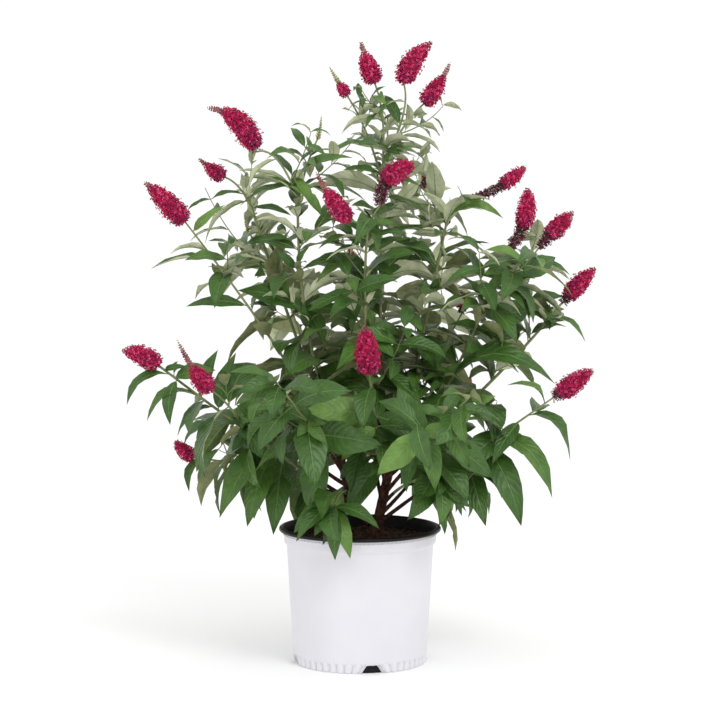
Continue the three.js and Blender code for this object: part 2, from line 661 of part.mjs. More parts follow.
/** The six-faced skin of a leaf, its root sunk past the stem's middle. */
function leafSkin(leaf) {
  return skin(leafCorners(leaf, -leaf.sink / leaf.length), LEAF_FACES);
}

/** Keep a leaf in the first way it settles clear of everything. */
function tryLeaf(plant, leaf) {
  if (leaf.twig && !leaf.twig.kept) return;
  SETTLE.some(([droop, roll, part]) => keepLeaf(plant, settled(leaf, droop, roll, part)));
}

/** Keep a leaf if the whole of it is clear of limbs and of other growth. */
function keepLeaf(plant, leaf) {
  const corners = leafCorners(leaf, 0);
  const probes = LEAF_PROBES.map(([u, v]) => onLeaf(leaf, u, v, LEAF_EDGE_ARCH));
  if (!clearOfLimbs([...corners.slice(1), ...probes])) return false;
  const full = block(corners, LEAF_FACES, LEAF_EDGES);
  const body = block(leafCorners(leaf, LEAF_NECK), LEAF_FACES, LEAF_EDGES);
  if (!clearOfGrowth(plant, full, body)) return false;
  plant.leaves.push({ ...leaf, full, body });
  return true;
}

/** Keep a side twig if it is clear all along. */
function tryTwig(plant, twig) {
  const along = [0.2, 0.4, 0.6, 0.8, 1].map((t) => pointOn(twig.line, t));
  if (!clearOfLimbs(along)) return;
  const full = stemBlocks(twig);
  const body = stemBlocks({ ...twig, from: TWIG_NECK });
  if (!full.every((whole, i) => clearOfGrowth(plant, whole, body[i]))) return;
  Object.assign(twig, { kept: true, full, body });
  plant.twigs.push(twig);
}

/** A flower spike: a spindle from just below its foot to its pointed end. */
function spikeSkin(foot, end, wide) {
  const sides = wide > SLIM_SPIKE ? 6 : 4;
  const axis = end.clone().sub(foot);
  const start = foot.clone().addScaledVector(axis, -SPIKE_SINK);
  const heading = axis.clone().normalize();
  const first = new THREE.Vector3().crossVectors(heading, new THREE.Vector3(0.2, 1, 0.1)).normalize();
  const second = new THREE.Vector3().crossVectors(heading, first);
  const points = [];
  for (const [u, part] of SPIKE_ROWS) {
    for (let k = 0; k < sides; k += 1) {
      const turn = (2 * Math.PI * k) / sides;
      const p = start.clone().addScaledVector(axis, u * (1 + SPIKE_SINK));
      p.addScaledVector(first, part * wide * Math.cos(turn));
      points.push(p.addScaledVector(second, part * wide * Math.sin(turn)));
    }
  }
  return skin(points, ringFaces(SPIKE_ROWS.length, sides));
}

/** Leaf pairs along one line, each pair turned a quarter from the last. */
function dress(part, roll, twig) {
  const { line, from } = part;
  const height = crownHeight(pointOn(line, (from + 1) / 2).z);
  const pitch = mix(PITCH_LOW, PITCH_HIGH, height) * (twig ? TWIG_PITCH : 1);
  const start = from * line.length + FIRST_PAIR * pitch;
  const count = Math.max(1, Math.floor((line.length - start) / pitch + 0.6));
  const twist = degrees(360 * roll());
  const buds = [];
  for (let i = 0; i < count; i += 1) {
    const t = Math.min(LAST_PAIR, (start + i * pitch) / line.length);
    const turn = twist + (Math.PI / 2) * i + degrees(TURN_RANGE * (roll() - 0.5));
    buds.push(...budPair(part, t, turn, roll, twig));
    buds.push(...budPair(part, t, turn + Math.PI, roll, twig));
  }
  return buds;
}

/** One side of a leaf pair: its leaf, and now and then a twig from its axil. */
function budPair(part, t, turn, roll, twig) {
  const root = heartOf(part, t);
  const heading = headingOn(part.line, t);
  const high = crownHeight(root.z);
  const spread = degrees(mix(SPREAD_LOW, SPREAD_HIGH, high) + SPREAD_RANGE * (roll() - 0.5));
  const lighter = clamp01((root.z - DROOP_LOW_Z) / (DROOP_HIGH_Z - DROOP_LOW_Z));
  const droop = mix(DROOP_LOW, DROOP_HIGH, lighter) * (0.5 + roll());
  const along = clamp01((t - part.from) / (1 - part.from));
  const shorten = (1 - TIP_SHORTER * along * along) * (twig ? TWIG_LEAF : 1);
  const longer = 1 + LENGTH_RANGE * (roll() - 0.5);
  const length = mix(LEAF_LOW, LEAF_HIGH, high) * shorten * longer;
  const tilt = degrees(ROLL_RANGE * (roll() - 0.5));
  const chance = roll();
  const way = leaving(part.line, t, turn, spread);
  const sink = LEAF_SINK * mix(part.low, part.high, along);
  const buds = [{ leaf: { root, way, heading, length, droop, roll: tilt, sink, twig } }];
  if (!twig && chance < TWIG_CHANCE && along < TWIG_LIMIT) {
    const lifted = Math.min(LAST_PAIR, t + AXIL_LIFT / part.line.length);
    const steeper = leaving(part.line, t, turn, spread * TWIG_SPREAD);
    buds.push(...twigBuds(heartOf(part, lifted), steeper, length, roll));
  }
  return buds;
}

/** A side twig: a short bent line out of an axil, then its own leaf pairs. */
function twigBuds(root, way, length, roll) {
  const reach = TWIG_LENGTH * length * (TWIG_SHORTEST + TWIG_RANGE * roll());
  const knee = root.clone().addScaledVector(way, reach * TWIG_KNEE);
  const tip = root.clone().addScaledVector(way, reach * TWIG_OUT);
  tip.z += reach * TWIG_RISE;
  const line = bentLine(root.toArray(), knee.toArray(), tip.toArray());
  const twig = { line, from: 0, steps: TWIG_STEPS, low: TWIG_RADIUS, high: TWIG_TIP_RADIUS };
  return [{ twig }, ...dress(twig, roll, twig)];
}

/** All shoots grow together: each in turn opens one bud of its list. */
function growAll() {
  const lists = plants.map((plant) => {
    const roll = dice(SHOOT_SEED * (plant.index + 1) + FIRST_SEED);
    return plant.lines.flatMap((part) => dress(part, roll, null));
  });
  const longest = Math.max(...lists.map((list) => list.length));
  for (let i = 0; i < longest; i += 1) {
    plants.forEach((plant, k) => {
      const bud = lists[k][i];
      if (bud && bud.twig) tryTwig(plant, bud.twig);
      if (bud && bud.leaf) tryLeaf(plant, bud.leaf);
    });
  }
}

/** Whether two corners of a solid nearly meet, so that they could run together. */
function hasTightSpot(body) {
  const { vertProperties: v, numVert } = body.getMesh();
  const corner = (i) => new THREE.Vector3().fromArray(v, i * 3);
  const corners = [...Array(numVert).keys()].map(corner).sort((a, b) => a.x - b.x);
  return corners.some((p, i) => {
    for (let k = i + 1; k < numVert && corners[k].x - p.x < TIGHTEST; k += 1) {
      if (p.distanceTo(corners[k]) < TIGHTEST) return true;
    }
    return false;
  });
}

/** Join a piece to a body, nudged where corners would nearly meet. */
function withPiece(body, piece) {
  for (const nudge of NUDGES) {
    const whole = body.add(solidOf(piece.clone().translate(...nudge)));
    if (!hasTightSpot(whole)) return whole;
  }
  return body;
}

/** The mass of one shoot: stems, twigs, leaves and spikes as one solid. */
function makeMass(plant) {
  const skins = [];
  plant.lines.forEach((part, i) => {
    const clear = i === 0 ? GAP / part.line.length : 0;
    skins.push(tube(part.line, part.from + clear, 1, part.low, part.high, TWIG_SIDES, part.steps));
    if (part.spike) skins.push(spikeSkin(part.line.v2, vec(part.spike), part.wide));
  });
  const leafy = plant.twigs.filter((twig) => plant.leaves.some((leaf) => leaf.twig === twig));
  for (const twig of leafy) {
    skins.push(tube(twig.line, 0, 1, twig.low, twig.high, TWIG_SIDES, twig.steps));
  }
  skins.push(...plant.leaves.map(leafSkin));
  return skins.slice(1).reduce(withPiece, solidOf(skins[0]));
}

/** The woody part of a shoot, grown all round by extra. */
function boughTube(plant, extra) {
  const { shoot, lines } = plant;
  const low = BOUGH_RADIUS_LOW + cornerGrowth(extra, BOUGH_SIDES);
  const high = BOUGH_RADIUS_HIGH + cornerGrowth(extra, BOUGH_SIDES);
  return solidOf(tube(lines[0].line, 0, shoot.bough, low, high, BOUGH_SIDES, BOUGH_STEPS));
}

/** A bough cut back clear of the wood that stands where it starts. */
function makeBough(plant, taken) {
  const body = boughTube(plant, 0);
  return taken.reduce((rest, room) => rest.subtract(room), body);
}

// ---- colours and the finished tree of parts -------------------------------------
const COLOURS = { pot: 0xf2f2f0, soil: 0x3a2a1e, bark: 0x5a4032, leaf: 0x3f7a35 };

function named(body, name, colour) {
  const mesh = body.getMesh();
  const geometry = new THREE.BufferGeometry();
  const flat = new Float32Array(mesh.triVerts.length * 3);
  mesh.triVerts.forEach((v, i) => {
    for (let k = 0; k < 3; k += 1) flat[i * 3 + k] = mesh.vertProperties[v * mesh.numProp + k];
  });
  geometry.setAttribute('position', new THREE.BufferAttribute(flat, 3));
  geometry.computeVertexNormals();
  const material = new THREE.MeshStandardMaterial({ color: colour, roughness: 0.7 });
  const part = new THREE.Mesh(geometry, material);
  part.name = name;
  return part;
}

const plantGroup = new THREE.Group();
plantGroup.name = 'butterfly_bush';
const potGroup = new THREE.Group();
potGroup.name = 'filled_pot';
potGroup.add(named(makePot(), 'pot', COLOURS.pot));
potGroup.add(named(makeSoil(), 'soil', COLOURS.soil));

const woodGroup = new THREE.Group();
woodGroup.name = 'wood';
const trunkRoom = makeTrunk(GAP);
const limbRoom = limbTube(GAP);
woodGroup.add(named(makeTrunk(0), 'trunk', COLOURS.bark));
woodGroup.add(named(limbTube(0).subtract(trunkRoom), 'limb_left', COLOURS.bark));

const crownGroup = new THREE.Group();
crownGroup.name = 'crown';
growAll();
const taken = [trunkRoom, limbRoom];
for (const plant of plants) {
  const bough = makeBough(plant, taken);
  taken.push(boughTube(plant, GAP));
  woodGroup.add(named(bough, `bough_${plant.shoot.name}`, COLOURS.bark));
  crownGroup.add(named(makeMass(plant), `mass_${plant.shoot.name}`, COLOURS.leaf));
}

plantGroup.add(potGroup, woodGroup, crownGroup);
export default plantGroup;
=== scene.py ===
# %% [markdown]
# # A potted butterfly bush
# The plant is a shrub in a round nursery pot.  Its solids come packed as a
# fixed frame: a pot, the soil, a trunk, boughs, and one mass of leaves and
# flower spikes for each shoot.  This script keeps every solid where it is and
# grows the fine plant on the same lines: curved leaves with pale undersides,
# flower spikes made of small four-lobed flowers, and bark with relief.

# %% Load the frame
from types import SimpleNamespace

import bpy
import numpy as np
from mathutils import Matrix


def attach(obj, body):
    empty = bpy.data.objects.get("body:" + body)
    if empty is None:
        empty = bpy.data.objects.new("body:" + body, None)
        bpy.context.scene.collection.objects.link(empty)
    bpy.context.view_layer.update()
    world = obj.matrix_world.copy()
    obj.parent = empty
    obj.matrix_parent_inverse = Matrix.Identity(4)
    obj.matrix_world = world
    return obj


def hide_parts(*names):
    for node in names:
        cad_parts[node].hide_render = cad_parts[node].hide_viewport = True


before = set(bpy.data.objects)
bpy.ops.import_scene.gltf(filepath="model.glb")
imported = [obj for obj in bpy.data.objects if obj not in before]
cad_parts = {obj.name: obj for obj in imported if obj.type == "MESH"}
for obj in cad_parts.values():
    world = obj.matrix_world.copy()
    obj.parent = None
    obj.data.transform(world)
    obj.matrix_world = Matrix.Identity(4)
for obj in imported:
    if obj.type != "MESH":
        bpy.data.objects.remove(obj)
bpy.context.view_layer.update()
MM = 0.001

# %% [markdown]
# ## The shoots
# A butterfly bush sends up long arching shoots from a short trunk.  Each shoot
# could be traced as a dense row of points, but one bend says nearly all of its
# shape, so a shoot is a start, a knee and a tip, in millimetres from the middle
# of the pot's underside.  The same table drew the solids, so the fine plant
# lies exactly where they lie.  `at` is the part of its parent's line where the
# shoot starts, `bough` the part of the shoot that is woody, `spike` the point
# where its flower spike ends, `wide` the spike's radius, and `forks` the lines
# that leave it higher up.

# %% The table of shoots
TRUNK_FOOT = (26, 15, 217.3)
TRUNK_TOP = (56, 12, 357)
LIMB_FOOT = (17, 13, 240)
LIMB_KNEE = (-34, 6, 292)
LIMB_TOP = (-32, 4, 381)


def fork(at, knee, tip, spike=None, wide=0):
    """A line that leaves a shoot at part `at` of it."""
    return dict(at=at, knee=knee, tip=tip, spike=spike, wide=wide)


def shoot(name, on, at, knee, tip, bough, beside=(0, 0), spike=None, wide=0, forks=()):
    """One shoot of the plant, on the trunk or on the second limb."""
    return SimpleNamespace(name=name, on=on, at=at, knee=knee, tip=tip, bough=bough,
                           beside=beside, spike=spike, wide=wide, forks=forks)


SHOOTS = [
    shoot("leader", "trunk", 1.0, (27, 6, 500), (40, 0, 882), 0.34, beside=(-4, 3), forks=[
        fork(0.98, (44, 4, 950), (25, 10, 996), (1, 10, 1067), 20),
        fork(0.97, (88, -15, 950), (74, -30, 993), (121, -40, 1063), 21),
        fork(0.95, (66, 14, 926), (109, 20, 961), (154, 20, 1032), 18),
        fork(0.93, (10, 20, 930), (-22, 30, 975), (-53, 40, 1026), 13),
        fork(0.8, (50, 70, 860), (48, 112, 930)),
    ]),
    shoot("high_left", "limb", 1.0, (-112, -13, 563), (-105, -30, 816), 0.3, beside=(1, -4), forks=[
        fork(0.97, (-140, -36, 892), (-174, -50, 879), (-256, -70, 952), 23),
        fork(0.96, (-92, -14, 860), (-73, 0, 900), (-66, 2, 940), 7),
    ]),
    shoot("upper_left", "limb", 0.92, (-114, 27, 555), (-192, 50, 797), 0.3, beside=(-1, 5), forks=[
        fork(0.96, (-205, 50, 826), (-234, 50, 836), (-280, 60, 869), 16),
        fork(0.6, (-170, 90, 690), (-196, 128, 740)),
    ]),
    shoot("reach_left", "limb", 0.8, (-86, -3, 484), (-298, -10, 760), 0.26,
          beside=(-4, -2), spike=(-366, -15, 828), wide=22),
    shoot("low_left", "limb", 0.3, (-123, -23, 345), (-340, -60, 518), 0.3,
          spike=(-400, -65, 544), wide=20, forks=[
        fork(0.62, (-222, -98, 462), (-249, -120, 483), (-302, -150, 569), 19),
    ]),
    shoot("lowest_left", "limb", 0.12, (-70, 52, 322), (-288, 32, 350), 0.3,
          spike=(-320, 30, 379), wide=16),
    shoot("front_spike", "trunk", 0.62, (33, -69, 357), (15, -150, 516), 0.3,
          spike=(9, -185, 593), wide=24),
    shoot("front_pair", "trunk", 0.88, (-8, -44, 560), (14, -80, 757), 0.26, forks=[
        fork(0.985, (2, -88, 760), (-18, -100, 766), (-73, -130, 846), 19),
        fork(0.99, (20, -92, 772), (32, -98, 788), (89, -110, 857), 21),
    ]),
    shoot("high_right", "trunk", 0.95, (102, 21, 521), (151, 30, 768), 0.3, beside=(5, 0), forks=[
        fork(0.97, (160, 30, 795), (189, 30, 800), (285, 35, 855), 15),
        fork(0.9, (138, 60, 790), (110, 88, 815), (128, 96, 845), 12),
    ]),
    shoot("upper_right", "trunk", 0.84, (140, -4, 439), (206, -20, 600), 0.34, forks=[
        fork(0.97, (236, -40, 655), (253, -50, 714), (282, -55, 818), 19),
        fork(0.98, (262, -6, 655), (305, 10, 713), (366, 15, 777), 19),
    ]),
    shoot("reach_right", "trunk", 0.72, (261, 60, 500), (349, 46, 617), 0.34,
          spike=(407, 45, 679), wide=19, forks=[
        fork(0.5, (230, 120, 480), (262, 165, 520)),
    ]),
    shoot("low_right", "trunk", 0.14, (121, -23, 313), (326, -60, 463), 0.34,
          spike=(393, -65, 512), wide=20),
    shoot("skirt_right", "trunk", 0.34, (70, -80, 330), (127, -140, 340), 0.3),
    shoot("skirt_left", "limb", 0.4, (-30, -95, 325), (-46, -162, 290), 0.3),
    shoot("mid_right", "trunk", 0.76, (90, 70, 440), (178, 92, 596), 0.3,
          beside=(4, 2), spike=(176, 92, 640), wide=15),
    shoot("front_left", "limb", 0.66, (-64, -120, 400), (-134, -255, 508), 0.3),
    shoot("front_right", "trunk", 0.5, (100, -125, 380), (176, -262, 486), 0.3),
    shoot("back_low_left", "limb", 0.52, (-90, 116, 325), (-186, 262, 424), 0.3,
          spike=(-208, 318, 462), wide=19),
    shoot("back_mid_left", "limb", 0.74, (-80, 130, 480), (-152, 268, 672), 0.28),
    shoot("back_low", "trunk", 0.42, (20, 160, 330), (12, 318, 478), 0.28,
          spike=(8, 362, 540), wide=20),
    shoot("back_mid", "trunk", 0.68, (20, 120, 520), (-12, 232, 650), 0.28,
          spike=(-18, 266, 712), wide=19),
    shoot("back_mid_right", "trunk", 0.92, (90, 140, 470), (140, 276, 656), 0.28, beside=(0, 5)),
    shoot("back_low_right", "trunk", 0.24, (110, 150, 300), (184, 262, 420), 0.3,
          spike=(204, 316, 464), wide=19),
]
print("shoots", len(SHOOTS), "forks", sum(len(s.forks) for s in SHOOTS))

# %% [markdown]
# ## Bent lines and dice
# A line that bends once is a quadratic Bezier curve.  A spline through many
# points would bend more freely, but with three points the whole line has one
# side direction that is square to it all along, and that is all a tube or a
# leaf pair needs to know where "across" is.  The random numbers come from a
# small generator written out here, so that every run grows the same plant.

# %% Lines
LENGTH_STEPS, LEAST_BEND, HELPER_WAY = 16, 1, (0.3, 1, 0)
DICE_TIMES, DICE_PLUS, DICE_WRAP = 1664525, 1013904223, 2 ** 32


def vec(values):
    """The values as an array of decimal numbers."""
    return np.array(values, float)


def unit(v):
    """v at length 1, along the last axis."""
    return v / np.linalg.norm(v, axis=-1, keepdims=True)


def mix(a, b, t):
    """The value at part t of the way from a to b."""
    return a + (b - a) * t


def clamp01(t):
    """t, but never under 0 or over 1."""
    return min(1.0, max(0.0, t))


def bent_line(start, knee, end):
    """(1-t)^2 start + 2(1-t)t knee + t^2 end, with its length and its side.

    The side is square to the way in and to the way out.  A line with hardly
    any bend takes one that is square to itself and to a helper way."""
    line = SimpleNamespace(v0=vec(start), v1=vec(knee), v2=vec(end))
    points = point_on(line, np.linspace(0, 1, LENGTH_STEPS + 1))
    line.length = float(np.linalg.norm(np.diff(points, axis=0), axis=1).sum())
    side = np.cross(line.v1 - line.v0, line.v2 - line.v1)
    if np.linalg.norm(side) < LEAST_BEND:
        side = np.cross(line.v2 - line.v0, vec(HELPER_WAY))
    line.side = unit(side)
    return line


def point_on(line, t):
    """The point at part t; t may be an array."""
    t = np.asarray(t, float)[..., None]
    return (1 - t) ** 2 * line.v0 + 2 * (1 - t) * t * line.v1 + t ** 2 * line.v2


def heading_on(line, t):
    """The unit way along the line at part t: from the way in to the way out."""
    t = np.asarray(t, float)[..., None]
    return unit((1 - t) * (line.v1 - line.v0) + t * (line.v2 - line.v1))


def dice(seed):
    """Even random numbers from 0 to 1: the last state times one number plus
    another, wrapped at 2^32, and then divided by 2^32."""
    state = seed
    while True:
        state = (state * DICE_TIMES + DICE_PLUS) % DICE_WRAP
        yield state / DICE_WRAP


UP = vec((0, 0, 1))
limb_line = bent_line(LIMB_FOOT, LIMB_KNEE, LIMB_TOP)
print("second limb", round(limb_line.length), "mm long")

# %% [markdown]
# ## The rule of growth
# Leaves sit in pairs, each pair turned a quarter from the last, and now and
# then a twig starts in the axil of a leaf.  Low leaves are long and hang; high
# ones are short and stand out.  They could be scattered at random with
# overlaps, but the solids need leaves that don't cross, so every shoot lists
# its buds first, then all shoots open one bud in turn, and a bud is kept only
# where a flat plane fits between it and all that already grows.  The fine plant
# repeats this rule so that its leaves are the leaves of the solids.

# %% Sizes of the growth, in millimetres and degrees
BOUGH_SIDES, BOUGH_STEPS = 5, 4
BOUGH_RADIUS_LOW, BOUGH_RADIUS_HIGH = 4.0, 2.9
STEM_RADIUS_LOW, STEM_RADIUS_HIGH, STEM_STEPS = 2.9, 1.5, 8
FORK_RADIUS_LOW, FORK_STEPS = 2.1, 4
TWIG_RADIUS, TWIG_TIP_RADIUS, TWIG_STEPS, TWIG_SIDES, TWIG_NECK = 1.3, 0.7, 2, 3, 0.3
LEAF_WIDTH, LEAF_THICK, LEAF_WIDEST, LEAF_NECK = 0.42, 0.012, 0.42, 0.14
LEAF_ARCH, LEAF_FACE_LIFT, LEAF_FACE_OUT, CROWN_MIDDLE = 0.13, 0.6, 0.5, 60
LEAF_EDGE_ARCH = 0.8 * LEAF_ARCH
LEAF_LOW, LEAF_HIGH, LEAF_LOW_Z, LEAF_HIGH_Z = 132, 68, 700, 1010
SPREAD_LOW, SPREAD_HIGH, SPREAD_RANGE = 72, 68, 16
TURN_RANGE, ROLL_RANGE, LENGTH_RANGE, TIP_SHORTER = 36, 46, 0.36, 0.45
DROOP_LOW, DROOP_HIGH, DROOP_LOW_Z, DROOP_HIGH_Z, DROOP_LEAST = 0.9, 0.26, 350, 600, 0.5
PITCH_LOW, PITCH_HIGH = 50, 42
SHOOT_SEED, FIRST_SEED = 7919, 8547
TWIG_CHANCE, TWIG_LENGTH, TWIG_LIMIT = 0.22, 1.05, 0.8
TWIG_LEAF, TWIG_PITCH, TWIG_SPREAD = 0.72, 0.62, 0.7
TWIG_KNEE, TWIG_OUT, TWIG_RISE, TWIG_SHORTEST, TWIG_RANGE = 0.55, 0.85, 0.35, 0.8, 0.5
TWIG_PROBES = np.arange(1, 6) / 5
FIRST_PAIR, LAST_PAIR, PAIR_ROUND_UP, AXIL_LIFT = 0.35, 0.985, 0.6, 5
SETTLE = ((0, 0, 1), (0.4, 25, 1), (-0.3, -25, 0.95), (0.1, 50, 0.9), (0.2, 0, 0.72))
CLEAR, LIMB_CLEAR, TRUNK_ROOM = 0.5, 2.5, 11.1
POT_CLEAR_RADIUS, POT_CLEAR_TOP, LOWEST_LEAF = 144, 239, 60
LIMB_RADIUS_LOW, LIMB_RADIUS_HIGH, LIMB_STEPS = 7.2, 6.0, 6

# %% [markdown]
# ## Openings through the crown
# A live bush isn't a ball of leaves: light falls through it in places.  Leaving
# out leaves at random would thin it everywhere alike, so each opening is a
# round place that a viewer in front can look through, given where it crosses
# the middle of the crown.  A leaf that would close one grows another way, or
# not at all.

# %% Openings: x and z at the crown's middle, and a radius
OPENINGS = np.array([
    (125, 1030, 15), (-145, 955, 40), (-40, 930, 20), (-150, 915, 20), (-255, 905, 20), (185, 900, 40),
    (220, 870, 35), (-300, 830, 35), (190, 830, 20), (330, 790, 20), (255, 785, 20), (255, 755, 15),
    (210, 755, 20), (-210, 750, 15), (235, 740, 15), (365, 705, 30), (-315, 655, 35), (320, 655, 15),
    (-200, 590, 20), (-230, 585, 25), (-350, 580, 40), (-275, 580, 35), (300, 545, 20), (-180, 540, 15),
    (345, 540, 35), (220, 485, 15), (-360, 465, 15), (255, 465, 20), (-345, 410, 25), (315, 395, 20),
    (250, 365, 15), (270, 345, 20), (285, 320, 20), (50, 310, 20), (40, 275, 15), (75, 275, 15),
    (-205, 265, 15), (120, 255, 15),
])
VIEWER_AWAY, VIEWER_HEIGHT = 4000, 860


def leaves_openings(points):
    """Whether points, moved to y = 0 along the viewer's line of sight, lie
    outside every opening's radius."""
    nearer = VIEWER_AWAY / (VIEWER_AWAY + points[:, 1])
    x = (points[:, 0] * nearer)[:, None]
    z = (VIEWER_HEIGHT + (points[:, 2] - VIEWER_HEIGHT) * nearer)[:, None]
    away = np.hypot(x - OPENINGS[:, 0], z - OPENINGS[:, 1])
    return bool((away >= OPENINGS[:, 2]).all())


print("openings", len(OPENINGS))

# %% [markdown]
# ## Telling blocks apart
# A leaf of the solids is a block with five corners, and a stem is a row of
# straight-sided ones.  To keep leaves from crossing, one could fill the space
# with small cubes and see which are taken, but thin leaves slip between cubes.
# Two convex blocks are apart exactly when a flat plane fits between them, and
# it is enough to try planes parallel to a face of one of them, or to an edge of
# each.

# %% Blocks that can be told apart
LEAF_FACES = np.array([(0, 2, 4), (0, 4, 3), (0, 3, 2), (1, 4, 2), (1, 3, 4), (1, 2, 3)])
LEAF_EDGES = np.array([(0, 1), (0, 2), (0, 3), (0, 4), (1, 2), (1, 3), (1, 4), (2, 4), (4, 3), (3, 2)])
LEAF_PROBES = ((0.25, 0.6), (0.25, -0.6), (0.25, 0), (0.6, 0.7), (0.6, -0.7), (0.6, 0),
               (0.8, 0.33), (0.8, -0.33), (0.16, 0))
PARALLEL = 1e-4


def block(corners, faces, edges):
    """A convex block: corners, unit face normals, unit edge ways, middle, reach."""
    a, b, c = (corners[faces[:, k]] for k in range(3))
    middle = corners.mean(axis=0)
    return SimpleNamespace(
        corners=corners,
        normals=unit(np.cross(b - a, c - a)),
        ways=unit(corners[edges[:, 1]] - corners[edges[:, 0]]),
        middle=middle,
        reach=np.linalg.norm(corners - middle, axis=1).max())


def apart(one, two, gap):
    """Whether a flat plane fits between: one parallel to a face of either block, or
    to an edge of each.  Edges that are parallel say nothing new and are left out."""
    ways = np.cross(one.ways[:, None], two.ways[None]).reshape(-1, 3)
    size = np.linalg.norm(ways, axis=1)
    ways = ways[size > PARALLEL] / size[size > PARALLEL, None]
    ways = np.concatenate([one.normals, two.normals, ways])
    a, b = one.corners @ ways.T, two.corners @ ways.T
    between = np.maximum(a.min(axis=0) - b.max(axis=0), b.min(axis=0) - a.max(axis=0))
    return bool((between >= gap).any())


def clear_of(shape, others, gap):
    """Whether a block keeps a gap to every block of a list."""
    if not others:
        return True
    middles = np.array([o.middle for o in others])
    reaches = np.array([o.reach for o in others])
    near = np.linalg.norm(middles - shape.middle, axis=1) <= reaches + shape.reach + gap
    return all(apart(shape, others[i], gap) for i in np.flatnonzero(near))

# %% Tubes made of straight-sided blocks
def round_turns(sides):
    """The turns of that many corners, evenly round a ring."""
    return 2 * np.pi * np.arange(sides) / sides


def rings_on(line, t, turn, radius):
    """Rings round the line: centre + radius (side cos turn + across sin turn), one
    ring for each t, with a radius for the ring or for each of its corners."""
    across = np.cross(heading_on(line, t), line.side)[:, None]
    ring = line.side * np.cos(turn)[None, :, None] + across * np.sin(turn)[None, :, None]
    return point_on(line, t)[:, None] + radius[..., None] * ring


def tube_corners(line, start, end, low, high, sides, steps):
    """The rings of an even tube, from radius low to radius high."""
    part = np.arange(steps + 1) / steps
    return rings_on(line, mix(start, end, part), round_turns(sides), mix(low, high, part)[:, None])


def tube_blocks(line, start, end, low, high, sides, steps):
    """The straight-sided blocks that the tube along a line is made of."""
    rings = tube_corners(line, start, end, low, high, sides, steps)
    k = np.arange(sides)
    following = (k + 1) % sides
    faces = [(0, 2, 1), (sides, sides + 1, sides + 2), *zip(k, following, sides + following)]
    edges = [*zip(k, following), *zip(k, k + sides)]
    faces, edges = np.array(faces), np.array(edges)
    return [block(rings[i:i + 2].reshape(-1, 3), faces, edges) for i in range(steps)]


def stem_blocks(part, start=None):
    """The blocks of a stem or twig, from its own start or from a later part."""
    start = part.start if start is None else start
    return tube_blocks(part.line, start, 1, part.low, part.high, TWIG_SIDES, part.steps)


# %% The plants, one for each shoot
def root_point(s):
    """Where a shoot leaves the trunk or the limb."""
    if s.on == "limb":
        p = point_on(limb_line, s.at)
    else:
        p = mix(vec(TRUNK_FOOT), vec(TRUNK_TOP), s.at)
    return p + vec((*s.beside, 0))


def shoot_lines(s):
    """Every line of a shoot: the main stem first, then its forks."""
    main = bent_line(root_point(s), s.knee, s.tip)
    high = FORK_RADIUS_LOW if s.forks else STEM_RADIUS_HIGH
    lines = [SimpleNamespace(line=main, start=s.bough, steps=STEM_STEPS, low=STEM_RADIUS_LOW,
                             high=high, spike=s.spike, wide=s.wide)]
    for f in s.forks:
        line = bent_line(point_on(main, f["at"]), f["knee"], f["tip"])
        lines.append(SimpleNamespace(line=line, start=0, steps=FORK_STEPS, low=FORK_RADIUS_LOW,
                                     high=STEM_RADIUS_HIGH, spike=f["spike"], wide=f["wide"]))
    return lines


def plant_of(s, index):
    """A shoot with its lines, its blocks and what grows on it."""
    lines = shoot_lines(s)
    wood = tube_blocks(lines[0].line, 0, s.bough, BOUGH_RADIUS_LOW, BOUGH_RADIUS_HIGH,
                       BOUGH_SIDES, BOUGH_STEPS)
    rounds = [(part.line.v2, vec(part.spike), part.wide) for part in lines if part.spike]
    stems = [b for part in lines for b in stem_blocks(part)]
    return SimpleNamespace(shoot=s, index=index, lines=lines, wood=wood, rounds=rounds,
                           stems=stems, leaves=[], twigs=[])


def limb_pieces():
    """The limb as short round pieces: two ends and a radius each."""
    ends = point_on(limb_line, np.arange(LIMB_STEPS + 1) / LIMB_STEPS)
    return [(a, b, LIMB_RADIUS_LOW) for a, b in zip(ends, ends[1:])]


plants = [plant_of(s, i) for i, s in enumerate(SHOOTS)]
ROUNDS = [(vec(TRUNK_FOOT), vec(TRUNK_TOP), TRUNK_ROOM), *limb_pieces(),
          *(r for plant in plants for r in plant.rounds)]
ROUND_A = np.array([r[0] for r in ROUNDS])
ROUND_WAY = np.array([r[1] for r in ROUNDS]) - ROUND_A
ROUND_RADIUS = np.array([r[2] for r in ROUNDS])
ROUND_LENGTH2 = (ROUND_WAY ** 2).sum(axis=1)


def clear_of_limbs(points, gap=LIMB_CLEAR):
    """Whether points keep clear of openings, pot, trunk, limb and flower spikes."""
    points = np.atleast_2d(points)
    if not leaves_openings(points):
        return False
    low = points[:, 2] < POT_CLEAR_TOP
    if (points[:, 2] < LOWEST_LEAF).any():
        return False
    if (low & (np.hypot(points[:, 0], points[:, 1]) < POT_CLEAR_RADIUS)).any():
        return False
    reach = points[:, None] - ROUND_A[None]
    t = np.clip((reach * ROUND_WAY).sum(axis=2) / ROUND_LENGTH2, 0, 1)
    away = np.linalg.norm(reach - t[..., None] * ROUND_WAY, axis=2) - ROUND_RADIUS
    return bool((away >= gap).all())


def clear_of_growth(owner, full, body):
    """Whether a block is clear of all growth; in its own plant its body counts."""
    for plant in plants:
        mine = plant is owner
        shape, gap = (body, 0) if mine else (full, CLEAR)
        if not clear_of(full, plant.wood, CLEAR) or not clear_of(shape, plant.stems, gap):
            return False
        others = [b for twig in plant.twigs for b in (twig.body if mine else twig.full)]
        others += [leaf.body if mine else leaf.full for leaf in plant.leaves]
        if not clear_of(shape, others, gap):
            return False
    return True


